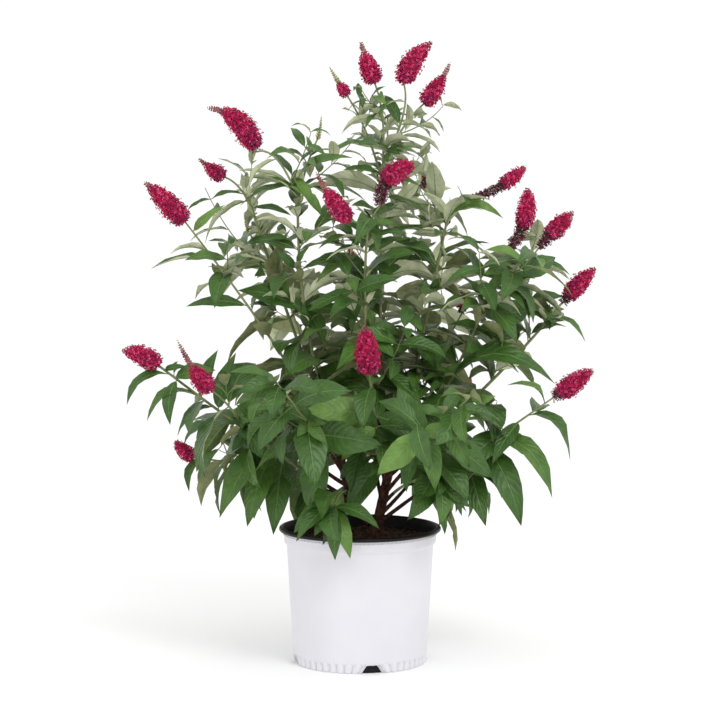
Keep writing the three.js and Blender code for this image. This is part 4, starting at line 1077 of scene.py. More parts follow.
midrib_top, tree, shader = new_material("midrib", 0.55, 0.3)
mottled(tree, shader, srgb(140, 160, 104), srgb(112, 138, 80), 60.0, 0.5)
print("leaf finishes", len(GREENS) + len(FELTS) + 1)

# %% [markdown]
# ## Leaves
# A butterfly bush leaf is lance-shaped, folded a little along its midrib, and
# arched so that the tip hangs.  It could be a flat card with a picture of a
# leaf, but cards look thin from the side and lose their shape up close.  Here
# the blade is a grid: along it runs the arched midrib, across it the two
# folded halves.  The underside is a second sheet that meets the first at the
# margin, because it has another colour: pale grey felt.

# %% Blade shape
ALONG = np.array([0, 0.05, 0.12, 0.21, 0.33, 0.47, 0.61, 0.75, 0.88, 1.0])
ACROSS = np.array([-1, -0.5, 0, 0.5, 1])
BLADE_WIDTH_LOW, BLADE_WIDTH_HIGH, PETIOLE, STALK_HALF = 0.43, 0.28, 0.06, 0.8
NARROW_FROM, NARROW_TO = 450, 850
BLADE_THICK, BLADE_ENDS = 0.5, (0.02, 0.98)
ARCHES, TWIST, WIDTHS, FOLDS = (0.08, 0.18), 0.35, (0.88, 1.12), (0.08, 0.45)
WAVE_HIGH, WAVES = 0.13, 2.1
# Each midrib ridge: its side of the blade, half width, height, and how deep it starts.
RIDGES = ((1, 0.75, 0.5, 0.1), (-1, 1.0, 1.1, BLADE_THICK * 0.6))
RIDGE_LENGTH, RIDGE_SIZES, RIDGE_TAPER, RIDGE_SWELL = 100, (0.45, 1.1), 0.8, 0.1


def blade_half_width(u):
    """Width over length: s^0.75 (1-s)^1.1, s from the petiole to the tip, peak 1."""
    s = np.clip((u - PETIOLE) / (1 - PETIOLE), 0, 1)
    shape = s ** 0.75 * (1 - s) ** 1.1
    return shape / shape.max()


def midrib_frames(group):
    """For each leaf and row: midrib point, side and normal.

    The midrib is a parabola over the chord: x = 2t(1-t) 0.5 + t^2 and
    z = 2t(1-t) 2 arch.  Side and normal turn about it by twist times t."""
    root, chord, face, side = (np.array([getattr(leaf, k) for leaf in group])
                               for k in ("root", "chord", "face", "side"))
    length = np.array([leaf.length for leaf in group])
    n = len(group)
    arch = rng.uniform(*ARCHES, n)
    arch = np.array([getattr(leaf, "arch", usual) for leaf, usual in zip(group, arch)])
    twist = rng.normal(0, TWIST, n)
    t = ALONG[None]
    x, z = t * (1 - t) + t ** 2, 4 * t * (1 - t) * arch[:, None]
    dx, dz = np.ones_like(z), 4 * (1 - 2 * t) * arch[:, None]
    size = np.hypot(dx, dz)
    dx, dz = dx / size, dz / size
    reach = x[..., None] * chord[:, None] + z[..., None] * face[:, None]
    middle = root[:, None] + length[:, None, None] * reach
    normal = dx[..., None] * face[:, None] - dz[..., None] * chord[:, None]
    turn = (twist[:, None] * t)[..., None]
    turned_side = side[:, None] * np.cos(turn) + normal * np.sin(turn)
    turned_normal = normal * np.cos(turn) - side[:, None] * np.sin(turn)
    return middle, turned_side, turned_normal, length


def blades(group):
    """Upper sheets, under sheets and midribs of a group of leaves.

    With v from -1 to 1 across, a corner lies v cos(fold) half out to the side
    and |v| sin(fold) half up, plus a wave that grows as v^2.  The under sheet
    lies lower by up to the blade's thickness, and by nothing at the margin."""
    middle, side, normal, length = midrib_frames(group)
    n, rows, cols = len(group), len(ALONG), len(ACROSS)
    narrow = np.clip((middle[:, 0, 2] - NARROW_FROM) / (NARROW_TO - NARROW_FROM), 0, 1)
    own = [getattr(leaf, "wide", usual) for leaf, usual in zip(group, rng.uniform(*WIDTHS, n))]
    wide = mix(BLADE_WIDTH_LOW, BLADE_WIDTH_HIGH, narrow) * own
    half = blade_half_width(ALONG)[None] * (wide / 2 * length)[:, None]
    half = half + STALK_HALF * (1 - ALONG)[None]
    fold = rng.uniform(*FOLDS, n)[:, None, None]
    phase = rng.uniform(0, 2 * np.pi, (n, 1, 2))
    v = ACROSS[None, None]
    wave_phase = np.where(v < 0, phase[..., :1], phase[..., 1:])
    wave = WAVE_HIGH * np.sin(2 * np.pi * WAVES * ALONG[None, :, None] + wave_phase) * v ** 2
    out = (v * np.cos(fold) * half[..., None])[..., None]
    lift = ((np.abs(v) * np.sin(fold) + wave) * half[..., None])[..., None]
    top = middle[:, :, None] + side[:, :, None] * out + normal[:, :, None] * lift
    inner = (BLADE_THICK * (1 - np.abs(ACROSS)))[None, None, :, None]
    inner = inner * np.sin(np.pi * np.clip(ALONG, *BLADE_ENDS))[None, :, None, None] ** 0.5
    under = top - normal[:, :, None] * inner
    faces = repeated(grid_faces(rows, cols), n, rows * cols)
    uv = np.stack(np.meshgrid(ALONG, (ACROSS + 1) / 2, indexing="ij"), -1)
    uv = np.tile(uv.reshape(-1, 2), (n, 1))
    return top.reshape(-1, 3), under.reshape(-1, 3), faces, uv, midribs(middle, side, normal, length)


def midribs(middle, side, normal, length):
    """A slim ridge over and one under each blade: three corners a row.

    Its size goes with the leaf's length, and tapers toward the tip."""
    n, rows = middle.shape[:2]
    thick = np.clip(length / RIDGE_LENGTH, *RIDGE_SIZES)[:, None] * (1 - RIDGE_TAPER * ALONG)[None]
    thick = thick[..., None]
    ridges = []
    for sign, wide, high, sunk in RIDGES:
        low = middle - normal * sunk
        crest = low + normal * (sign * high * thick + RIDGE_SWELL * sign)
        out = side * (sign * wide * thick)
        rows_of_three = np.stack([low - out, crest, low + out], 2)
        faces = repeated(grid_faces(rows, 3), n, rows * 3)
        ridges.append((rows_of_three.reshape(-1, 3), faces))
    return gathered(ridges)


def facing(corners, faces, ways):
    """The faces, turned over if most of them look against the given ways."""
    a, b, c = (corners[faces[:, k]] for k in range(3))
    same = (np.cross(b - a, c - a) * ways[faces[:, 0]]).sum(axis=1)
    return faces if np.median(same) > 0 else faces[:, ::-1]


# %% Deal the leaves out to three greens, spray by spray, and make them
MASSES = [f"mass_{s.name}" for s in SHOOTS]
TONE_SHARES, TONE_DEEPER = (0.52, 0.86), 0.08
SPRAY_DIFFERENCE, SPRAY_STEP = 0.1, 2.4
tone_of = []
for leaf in leaves:
    dealt = rng.random() + SPRAY_DIFFERENCE * np.sin(SPRAY_STEP * leaf.spray) - TONE_DEEPER
    tone_of.append(int(np.searchsorted(TONE_SHARES, dealt)))
# Undersides: pale felt on young leaves high up, olive on old ones lower down,
# and a dark olive on those low in the crown: painted shade, a darker colour
# that stands in for the shade the crown casts on them.
SHADED_BELOW, OLD_BELOW, FELT_ROW_SPREAD = 420, 580, 110
under_parts, rib_parts = {age: [] for age in FELTS}, []
for tone, (name, material) in enumerate(GREENS.items()):
    group = [leaf for leaf, t in zip(leaves, tone_of) if t == tone]
    top, under, faces, uv, rib = blades(group)
    ways = np.repeat(np.array([leaf.face for leaf in group]), len(ALONG) * len(ACROSS), axis=0)
    faces = facing(top, faces, ways)
    put(f"leaves_{name}", top, faces, material, "foliage", MASSES if tone == 0 else (), uv)
    rib_parts.append(rib)
    count = len(group)
    one_blade = faces[:len(faces) // count, ::-1]
    # Below SHADED_BELOW an underside gets the shaded felt, which is painted shade, not a sign of age.
    heights = np.array([leaf.root[2] for leaf in group]) - rng.normal(0, FELT_ROW_SPREAD, count)
    ages = np.searchsorted((SHADED_BELOW, OLD_BELOW), heights)
    for number, age in enumerate(FELTS):
        keep = ages == number
        sheets = under.reshape(count, -1, 3)[keep]
        sheet_uv = uv.reshape(count, -1, 2)[keep].reshape(-1, 2)
        under_faces = repeated(one_blade, len(sheets), sheets.shape[1])
        under_parts[age].append((sheets.reshape(-1, 3), under_faces, sheet_uv))
for age, parts in under_parts.items():
    under, faces = gathered([part[:2] for part in parts])
    uv = np.concatenate([part[2] for part in parts])
    put(f"leaf_undersides_{age}", under, faces, FELTS[age], "foliage", (), uv)
put("leaf_midribs", *gathered(rib_parts), midrib_top, "foliage")

# %% [markdown]
# ## Stems, twigs and bark
# Young shoots are green and smooth, and the wood at the foot is brown and
# splits into strips.  Both are tubes along the bent lines.  The green ones are
# plain rings; the wood's rings swell and shrink with a sum of waves that run
# mostly along it, which gives long shallow strips.

# %% Tubes
def closed_tube(rings):
    """Rings of corners as a closed skin: the grid, and a fan to the middle of each end."""
    rows, sides = rings.shape[:2]
    corners = np.concatenate([rings.reshape(-1, 3), rings[0].mean(0)[None], rings[-1].mean(0)[None]])
    k = np.arange(sides)
    start, end = rows * sides, rows * sides + 1
    last = (rows - 1) * sides
    fans = [np.stack([np.full(sides, start), (k + 1) % sides, k], 1),
            np.stack([np.full(sides, end), last + k, last + (k + 1) % sides], 1)]
    faces = np.concatenate([grid_faces(rows, sides, wrap=True), *fans])
    a, b, c = (corners[faces[:, i]] for i in range(3))
    if (np.cross(a, b) * c).sum() < 0:
        faces = faces[:, ::-1]
    return corners, faces


def green_tube(part, start, sides, steps, end=1):
    """The skin of a stem, twig or tuft from one part of its line to another."""
    return closed_tube(tube_corners(part.line, start, end, part.low, part.high, sides, steps))


# Sides and steps of the tubes.
STEM_GRID, TWIG_GRID, TUFT_GRID = (8, 20), (6, 8), (5, 4)
green_stem, tree, shader = new_material("green_stem", 0.6, 0.35)
mottled(tree, shader, srgb(142, 150, 104), srgb(112, 122, 78), 38.0, 0.7)
stems = [green_tube(part, part.start, *STEM_GRID) for plant in plants for part in plant.lines]
stems += [green_tube(twig, 0, *TWIG_GRID, twig.ends) for plant in plants for twig in plant.twigs]
stems += [green_tube(tuft, 0, *TUFT_GRID) for tuft in tufts]
put("green_stems", *gathered(stems), green_stem, "foliage")

# %% Wood with strips of bark
TRUNK_RADIUS_LOW, TRUNK_RADIUS_HIGH = 9.6, 8.2
FLARE_RADIUS, FLARE_HEIGHT, FLARE_LOBES, FLARE_LEAST, FLARE_SWING = 15.5, 26, 4, 0.7, 0.3
TRUNK_RINGS, TRUNK_SIDES, TRUNK_LONG = 90, 48, 140
LIMB_GRID, BOUGH_GRID, BOUGH_MORE = (30, 60), (16, 50), 0.01
# How deep the strips are, and the seed that their waves start from.
TRUNK_SUNK, TRUNK_BARK, LIMB_BARK, BOUGH_BARK = 0.4, 0.6, 0.4, 0.25
TRUNK_SEED, LIMB_SEED, BOUGH_SEED = 1.0, 2.0, 3.0
STRIPS_WIDE, STRIPS_FINE, WANDER_SLOW, WANDER_FAST, RING_LENGTH, RELIEF_MOST = 5, 9, 21, 9, 2.3, 2.1


def strips(t, turn, length, seed):
    """Relief of bark from -1 to 1: the sum of wide and fine waves round the stem,
    which wander along it, and of weak rings that aren't quite level."""
    wander = (0.8 * np.sin(length * t / WANDER_SLOW + seed)
              + 0.5 * np.sin(length * t / WANDER_FAST + 2 * seed))
    wide = np.sin(STRIPS_WIDE * turn + wander)
    fine = 0.6 * np.sin(STRIPS_FINE * turn - 1.7 * wander + seed)
    rings = 0.5 * np.sin(length * t / RING_LENGTH + 3 * np.sin(2 * turn + seed))
    return (wide + fine + rings) / RELIEF_MOST


def barked(line, start, end, low, high, sides, steps, depth, seed):
    """A tube along a line whose radius grows by depth times the strips of bark."""
    t = np.linspace(start, end, steps + 1)
    turn = round_turns(sides)
    radius = mix(low, high, (t - start) / (end - start))[:, None]
    radius = radius + depth * strips(t[:, None], turn[None], line.length, seed)
    return closed_tube(rings_on(line, t, turn, radius))


def barked_trunk():
    """Level rings from the flat foot: taper, four-lobed root flare and bark."""
    t = np.linspace(0, 1, TRUNK_RINGS)[:, None]
    turn = round_turns(TRUNK_SIDES)[None]
    height = t * (TRUNK_TOP[2] - TRUNK_FOOT[2])
    flare = np.clip(1 - height / FLARE_HEIGHT, 0, 1) ** 2
    lobe = FLARE_LEAST + FLARE_SWING * np.cos(FLARE_LOBES * turn)
    radius = mix(TRUNK_RADIUS_LOW, TRUNK_RADIUS_HIGH, t)
    radius = radius + (FLARE_RADIUS - TRUNK_RADIUS_LOW) * flare * lobe
    radius = radius - TRUNK_SUNK + TRUNK_BARK * strips(t, turn, TRUNK_LONG, TRUNK_SEED)
    centre = mix(vec(TRUNK_FOOT), vec(TRUNK_TOP), t[..., None])
    arm = np.stack([np.cos(turn), np.sin(turn), 0 * turn], -1)
    return closed_tube(centre + radius[..., None] * arm)


bark, tree, shader = new_material("bark", 0.85, 0.2)
mottled(tree, shader, srgb(100, 64, 52), srgb(56, 34, 30), 120.0, 1.0)
grained(tree, shader, 700.0, 0.6, 0.0006)
wood = [barked_trunk(), barked(limb_line, 0, 1, LIMB_RADIUS_LOW, LIMB_RADIUS_HIGH, *LIMB_GRID,
                               LIMB_BARK, LIMB_SEED)]
for plant in plants:
    wood.append(barked(plant.lines[0].line, 0, plant.shoot.bough + BOUGH_MORE, BOUGH_RADIUS_LOW,
                       BOUGH_RADIUS_HIGH, *BOUGH_GRID, BOUGH_BARK, BOUGH_SEED + plant.index))
WOOD = ["trunk", "limb_left", *(f"bough_{s.name}" for s in SHOOTS)]
put("bark_wood", *gathered(wood), bark, "bark", WOOD)

# %% [markdown]
# ## Flower spikes
# A spike of butterfly bush is hundreds of small flowers packed round an axis.
# The lowest open first, so a spike shows its age: faded brown-purple flowers at
# its foot, open crimson ones above, and closed buds at the tip.  A bumpy cone
# with a flower pattern would look moulded, so every flower is made: a thin tube
# and four rounded lobes.  They stand at golden-angle turns, which is how real
# flowers fill a spike without lining up, and closer where the spike is wide.

# %% How far each spike has come
# Each spike: the part that has faded, the part up to which it is open, and how
# far its middle leans out of the straight line, in millimetres.
STRAIGHT = (0, 0, 0)
STAGES = {
    "leader": ((0, 0.74, STRAIGHT), (0.08, 0.95, STRAIGHT), (0, 0.7, STRAIGHT), (0, 0.45, STRAIGHT)),
    "high_left": ((0.1, 0.78, (22, 0, 62)), (0, 0, STRAIGHT)),
    "upper_left": ((0, 0.72, STRAIGHT),),
    "reach_left": ((0, 0.9, STRAIGHT),),
    "low_left": ((0, 0.97, (0, 0, 6)), (0, 0.52, STRAIGHT)),
    "lowest_left": ((0, 1, STRAIGHT),),
    "front_spike": ((0.06, 0.93, STRAIGHT),),
    "front_pair": ((0, 0.68, (4, 0, 8)), (0.48, 1, (-26, 0, 22))),
    "high_right": ((0.6, 0.97, (0, 0, -8)), (0.6, 1, STRAIGHT)),
    "upper_right": ((0.43, 0.97, (20, 0, -4)), (0.38, 0.93, STRAIGHT)),
    "reach_right": ((0.24, 0.95, STRAIGHT),),
    "low_right": ((0.2, 0.96, STRAIGHT),),
    "mid_right": ((0.3, 0.8, STRAIGHT),),
}
USUAL_STAGE = (0.05, 0.85, STRAIGHT)
# Outlines: (part of the length, part of the spike's radius).
OPEN_SHAPE = ((0, 0.46), (0.06, 0.68), (0.16, 0.82), (0.36, 0.86), (0.58, 0.78), (0.78, 0.6),
              (0.92, 0.38), (1, 0.16))
FADED_SHAPE = ((0, 0.4), (0.2, 0.6), (1, 0.72))
BUD_SHAPE = ((0, 0.4), (0.35, 0.3), (0.75, 0.2), (1, 0.06))
GOLDEN = np.pi * (3 - 5 ** 0.5)
FLOWER_ROOM, FADED_ROOM, BUD_ROOM, YOUNG_WIDE = 11.5, 13, 7, 14
LEAST_PART, LEAST_SPOTS, AREA_STEPS, TURN_STRAY, PLACE_STRAY = 0.02, 6, 60, 0.14, 0.01
AXIS_ONWARD, AXIS_STRAIGHTEN, NEARLY_UP, TINY = 0.5, 0.45, 0.9, 1e-6
# A flower's rim, from notch to shoulder, lobe and shoulder: how far each corner
# is turned, how far it reaches, and how far it bends back.
LOBE_REACH, RIM_CORNERS, THROAT = 3.1, 16, 1.1
RIM_TURN, RIM_REACH = vec((0, 0.18, 0, -0.18)), vec((0.38, 0.84, 1.0, 0.84))
RIM_BEND, RIM_REACHES, RIM_CRUMPLE = vec((0.12, -0.02, -0.25, -0.02)), (0.84, 1.14), 0.1
SPINDLE_MIDDLE = 0.55
CORE_RINGS, CORE_SIDES, CORE_WIDE, CORE_BUMPS = 14, 12, 0.64, (0.86, 1.12)
CORE_ENDS, CORE_CLOSE = (0.03, 0.97), 0.35


def between(shape, start, end):
    """The shape's rows, (part, width), laid over the part of a spike from start to end."""
    parts, widths = zip(*shape)
    return lambda u: np.interp((u - start) / max(end - start, TINY), parts, widths)


def spike_axis(part, lean):
    """The line of a spike: it goes on from its stem and bends to its own tip."""
    foot, tip = part.line.v2, vec(part.spike)
    onward = foot + heading_on(part.line, 1.0) * (AXIS_ONWARD * np.linalg.norm(tip - foot))
    return bent_line(foot, mix(onward, mix(foot, tip, 0.5), AXIS_STRAIGHTEN) + vec(lean), tip)


def stations(axis, wide, shape, start, end, room):
    """Places on a spike from part start to end, one for each room square millimetres.

    The skin's area is summed along the axis, and each place takes an equal
    share of it; from one place to the next the turn grows by the golden angle."""
    if end - start < LEAST_PART:
        return None
    u = np.linspace(start, end, AREA_STEPS)
    area = 2 * np.pi * wide * shape(u)
    total = np.concatenate([[0], np.cumsum((area[1:] + area[:-1]) / 2 * np.diff(u) * axis.length)])
    count = max(LEAST_SPOTS, int(total[-1] / room))
    t = np.interp((np.arange(count) + 0.5) / count * total[-1], total, u)
    turn = np.arange(count) * GOLDEN + rng.normal(0, TURN_STRAY, count)
    t = np.clip(t + rng.normal(0, PLACE_STRAY, count), start, end)
    heading = heading_on(axis, t)
    across = np.cross(heading, axis.side)
    out = axis.side * np.cos(turn)[:, None] + across * np.sin(turn)[:, None]
    return SimpleNamespace(t=t, turn=turn, out=out, heading=heading, centre=point_on(axis, t),
                           count=count, radius=wide * shape(t), part=(t - start) / (end - start))


def frames_about(way):
    """Two unit vectors square to each way and to each other."""
    helper = np.where(np.abs(way[:, 2:]) < NEARLY_UP, UP, vec((1, 0, 0)))
    one = unit(np.cross(helper, way))
    return one, np.cross(way, one)


def flowers(at, way, size):
    """Open flowers: a rim of notch, shoulder, lobe, shoulder, four times, round a throat."""
    n = len(at)
    one, two = frames_about(way)
    turn = rng.uniform(0, np.pi / 2, n)[:, None]
    step = np.arange(RIM_CORNERS)
    angle = turn + 2 * np.pi * (step + RIM_TURN[step % 4]) / RIM_CORNERS
    reach = RIM_REACH[step % 4] * rng.uniform(*RIM_REACHES, (n, len(step)))
    bend = RIM_BEND[step % 4] + rng.normal(0, RIM_CRUMPLE, (n, len(step)))
    size = size[:, None, None]
    rim = (at[:, None] + size * (reach * np.cos(angle))[..., None] * one[:, None]
           + size * (reach * np.sin(angle))[..., None] * two[:, None]
           + size * bend[..., None] * way[:, None])
    corners = np.concatenate([(at - way * THROAT)[:, None], rim], axis=1)
    faces = np.stack([np.zeros_like(step), step + 1, (step + 1) % RIM_CORNERS + 1], 1)
    return corners.reshape(-1, 3), repeated(faces, n, RIM_CORNERS + 1)


def spindles(foot, way, length, width, sides=4):
    """Small closed bodies that are pointed at both ends: tubes, calyces and buds."""
    n = len(foot)
    one, two = frames_about(way)
    turn = round_turns(sides)
    middle = foot + way * (SPINDLE_MIDDLE * length)[:, None]
    ring = (middle[:, None] + width[:, None, None] * (np.cos(turn)[None, :, None] * one[:, None]
                                                      + np.sin(turn)[None, :, None] * two[:, None]))
    corners = np.concatenate([foot[:, None], (foot + way * length[:, None])[:, None], ring], axis=1)
    k = np.arange(sides)
    following = (k + 1) % sides
    faces = np.concatenate([np.stack([0 * k, following + 2, k + 2], 1),
                            np.stack([0 * k + 1, k + 2, following + 2], 1)])
    return corners.reshape(-1, 3), repeated(faces, n, sides + 2)


def spike_core(axis, wide, shape, start, end):
    """The inside of the open part, bumpy all over and closed at both ends; its crimson, darker than the
    petals, is partly the deeper flowers' own colour and partly painted shade.
    """
    t = np.linspace(start, end, CORE_RINGS)
    close = np.sin(np.pi * np.clip((t - start) / (end - start), *CORE_ENDS)) ** CORE_CLOSE
    bumps = rng.uniform(*CORE_BUMPS, (CORE_RINGS, CORE_SIDES))
    radius = (CORE_WIDE * wide * shape(t) * close)[:, None] * bumps
    return closed_tube(rings_on(axis, t, round_turns(CORE_SIDES), radius))


# %% Grow the spikes
BLOOM_TONES = ("crimson", "rose", "plum", "wine")
CLUSTER_PITCH, CLUSTER_SIDES, CLUSTER_BULGE = 9.0, 3, 0.13
STRAY_CHANCE, STRAY_OUT, STRAY_SIZE, STRAY_TONE = 0.16, 0.24, 0.75, 0.999
OPEN_LEAN, OPEN_STRAY, OPEN_STANDS, OPEN_SIZES = 0.3, 0.3, (0.76, 1.0), (0.7, 1.1)
FULL_RADIUS, LEAST_FLOWER, TUBE_FROM, TUBE_HALF = 13, 0.6, 0.4, 0.7
PLUM_LEAST, PLUM_FOOT, CRIMSON_SHARE, ROSE_SHARE = 0.08, 0.45, 0.5, 0.84
FADED_LEAN, FADED_STRAY, FADED_FROM, FADED_REACHES = 0.45, 0.35, 0.15, (0.5, 1.05)
FADED_HALVES, WITHERED_CHANCE, WITHERED_SIZES = (0.7, 1.3), 0.5, (1.4, 2.5)
WHORL_PITCH, WHORL_PULL, BUD_LEAN, BUD_STRAY, BUD_FROM = 4.2, 0.6, 0.9, 0.2, 0.25
BUD_REACH, BUD_REACHES, BUD_UNEVEN, BUD_HALF = 0.9, (1.6, 4.5), (0.8, 1.2), 0.28
FEW_OPEN, STEM_END, STEM_TIP_RADIUS, SPIKE_GRID = 0.5, 0.97, 0.6, (6, 8)
BARE_FOOT, OPEN_OVERLAP, BUD_OVERLAP, OPEN_BEYOND = 0.02, 0.05, 0.03, 0.04
bloom = {tone: [] for tone in BLOOM_TONES}
cores, faded, withered, rosy_buds, green_buds, spike_stems = [], [], [], [], [], []


def open_part(axis, wide, start, end):
    """Open flowers, mostly crimson, plum toward the foot, with their tubes.

    They stand in clusters that bulge as sin(row) cos(3 turn), and some strays
    stand out of the rest, smaller and wine red, so the outline is ragged."""
    shape = between(OPEN_SHAPE, start, end + OPEN_BEYOND)
    spots = stations(axis, wide, shape, start, end, FLOWER_ROOM)
    if spots is None:
        return
    stray_way = rng.normal(0, OPEN_STRAY, (spots.count, 3))
    way = unit(spots.out + OPEN_LEAN * spots.heading + stray_way)
    row, side_phase = 2 * np.pi * spots.t * axis.length / CLUSTER_PITCH, rng.uniform(0, 2 * np.pi)
    bulge = np.sin(row + side_phase) * np.cos(CLUSTER_SIDES * spots.turn + side_phase)
    stray = rng.random(spots.count) < STRAY_CHANCE
    stand = rng.uniform(*OPEN_STANDS, spots.count) + CLUSTER_BULGE * bulge + STRAY_OUT * stray
    at = spots.centre + spots.out * (spots.radius * stand)[:, None]
    size = LOBE_REACH * rng.uniform(*OPEN_SIZES, spots.count)
    size = size * np.clip(spots.radius / FULL_RADIUS, LEAST_FLOWER, 1)
    size = size * np.where(stray, STRAY_SIZE, 1.0)
    plum = PLUM_LEAST + PLUM_FOOT * (1 - spots.part) ** 3
    dealt = np.where(stray, STRAY_TONE, rng.random(spots.count))
    rose_to = ROSE_SHARE * (1 - plum)
    edges = (0 * plum, CRIMSON_SHARE * (1 - plum), rose_to, rose_to + plum, 1 + 0 * plum)
    for tone, low, high in zip(BLOOM_TONES, edges, edges[1:]):
        pick = (dealt >= low) & (dealt < high)
        if pick.any():
            bloom[tone].append(flowers(at[pick], way[pick], size[pick]))
    foot = spots.centre + spots.out * (TUBE_FROM * spots.radius)[:, None]
    along = at - foot
    reach = np.linalg.norm(along, axis=1)
    half = np.full(spots.count, TUBE_HALF)
    bloom["wine"].append(spindles(foot, along / reach[:, None], reach, half, 3))
    cores.append(spike_core(axis, wide, shape, start, end))


def faded_part(axis, wide, start, end):
    """Spent flowers: brown-purple calyces, thinly set, with some crumpled lobes."""
    spots = stations(axis, wide, between(FADED_SHAPE, start, end), start, end, FADED_ROOM)
    if spots is None:
        return
    stray_way = rng.normal(0, FADED_STRAY, (spots.count, 3))
    way = unit(spots.out + FADED_LEAN * spots.heading + stray_way)
    foot = spots.centre + spots.out * (FADED_FROM * spots.radius)[:, None]
    reach = spots.radius * rng.uniform(*FADED_REACHES, spots.count)
    faded.append(spindles(foot, way, reach, rng.uniform(*FADED_HALVES, spots.count)))
    pick = rng.random(spots.count) < WITHERED_CHANCE
    sizes = rng.uniform(*WITHERED_SIZES, pick.sum())
    withered.append(flowers((foot + way * reach[:, None])[pick], way[pick], sizes))


def bud_part(axis, wide, start, end, into):
    """Unopened flowers in close whorls round the thin end of the axis."""
    spots = stations(axis, wide, between(BUD_SHAPE, start, end), start, end, BUD_ROOM)
    if spots is None:
        return
    whorl = np.round(spots.t * axis.length / WHORL_PITCH) * WHORL_PITCH / axis.length
    centre = point_on(axis, mix(spots.t, whorl, WHORL_PULL))
    way = unit(spots.out + BUD_LEAN * spots.heading + rng.normal(0, BUD_STRAY, (spots.count, 3)))
    foot = centre + spots.out * (BUD_FROM * spots.radius)[:, None]
    reach = np.clip(spots.radius * BUD_REACH, *BUD_REACHES)
    reach = reach * rng.uniform(*BUD_UNEVEN, spots.count)
    into.append(spindles(foot, way, reach, BUD_HALF * reach))


for plant in plants:
    ages = iter(STAGES.get(plant.shoot.name, ()))
    for part in plant.lines:
        if not part.spike:
            continue
        spent, opened, lean = next(ages, USUAL_STAGE)
        axis = spike_axis(part, lean)
        faded_part(axis, part.wide, BARE_FOOT, spent)
        open_part(axis, part.wide, max(spent - OPEN_OVERLAP, 0), opened)
        few_open = opened < FEW_OPEN
        wide = max(part.wide, YOUNG_WIDE) if few_open else part.wide
        bud_part(axis, wide, max(opened - BUD_OVERLAP, BARE_FOOT), 1.0,
                 green_buds if few_open else rosy_buds)
        spike_stems.append(closed_tube(tube_corners(axis, 0, STEM_END, STEM_RADIUS_HIGH,
                                                    STEM_TIP_RADIUS, *SPIKE_GRID)))
print("open flowers", sum(len(corners) // (RIM_CORNERS + 1) for tone in ("crimson", "rose", "plum")
                          for corners, faces in bloom[tone]))

# %% [markdown]
# ## Young spikes
# The highest side shoots end in spikes that haven't opened: slender, pale and a
# few centimetres long.  They are the same buds on a thinner axis.

# %% Buds on the bare tips of forks and twigs
YOUNG_LOW_Z, YOUNG_CHANCE, YOUNG_RISE, YOUNG_LENGTHS, YOUNG_KNEE = 640, 0.6, 0.5, (20, 38), 12
YOUNG_STEM, YOUNG_GRID, YOUNG_FOOT = (0.9, 0.4), (5, 3), 0.05
for plant in plants:
    tips = [part.line for part in plant.lines if not part.spike]
    tips += [twig.line for twig in plant.twigs if twig.ends == 1]
    for line in tips:
        if line.v2[2] < YOUNG_LOW_Z or rng.random() > YOUNG_CHANCE:
            continue
        way = unit(heading_on(line, 1.0) + YOUNG_RISE * UP)
        tip = line.v2 + way * rng.uniform(*YOUNG_LENGTHS)
        if not leaves_openings(tip[None]):
            continue
        axis = bent_line(line.v2, line.v2 + heading_on(line, 1.0) * YOUNG_KNEE, tip)
        bud_part(axis, YOUNG_WIDE, YOUNG_FOOT, 1.0, green_buds)
        spike_stems.append(closed_tube(tube_corners(axis, 0, STEM_END, *YOUNG_STEM, *YOUNG_GRID)))
print("spikes of every age", len(spike_stems))

# %% Finish and place the spikes
PETALS = {
    "crimson": (srgb(216, 48, 104), srgb(192, 36, 90)),
    "rose": (srgb(230, 100, 148), srgb(212, 66, 122)),
    "plum": (srgb(170, 52, 112), srgb(136, 40, 90)),
    "wine": (srgb(186, 30, 84), srgb(156, 22, 68)),
}


def plain_mottled(name, roughness, colour, other, scale, spread=0.8):
    """A material with nothing but a mottled colour and its roughness."""
    material, tree, shader = new_material(name, roughness, 0.3)
    mottled(tree, shader, colour, other, scale, spread)
    return material


for tone in BLOOM_TONES:
    petal = plain_mottled(f"petal_{tone}", 0.55, *PETALS[tone], 160.0)
    put(f"blossom_{tone}", *gathered(bloom[tone]), petal, "foliage", smooth=False)
# The core's crimson is darker than the petals': the deeper flowers, with the shade between the flowers
# painted in.
core = plain_mottled("spike_core", 0.8, srgb(176, 34, 84), srgb(140, 26, 68), 220.0)
put("blossom_cores", *gathered(cores), core, "foliage")
spent = plain_mottled("spent_calyx", 0.8, srgb(104, 50, 62), srgb(74, 38, 44), 150.0)
put("blossom_spent", *gathered(faded), spent, "foliage")
dusty = plain_mottled("withered_petal", 0.7, srgb(150, 84, 106), srgb(112, 52, 74), 150.0)
put("blossom_withered", *gathered(withered), dusty, "foliage", smooth=False)
bud_green = plain_mottled("bud_green", 0.7, srgb(188, 184, 134), srgb(160, 150, 108), 90.0, 1.0)
bud_rosy = plain_mottled("bud_rosy", 0.7, srgb(172, 116, 112), srgb(134, 62, 76), 70.0, 1.4)
put("blossom_buds", *gathered(green_buds), bud_green, "foliage")
put("blossom_bud_tips", *gathered(rosy_buds), bud_rosy, "foliage")
put("blossom_stems", *gathered(spike_stems), green_stem, "foliage")

# %% [markdown]
# ## The pot
# A nursery pot is thin blown or pressed plastic: white outside, black inside,
# with a rolled black rim, a wide collar under it, and a pleated foot with four
# drain openings pressed in.  The wall is turned like a vase: rings of corners
# at the radii of a profile.  The pleats change the radius with the turn, and the
# openings need straight slanted edges, so the columns of the grid are shifted
# sideways, ring by ring, until two of them run exactly along each edge.

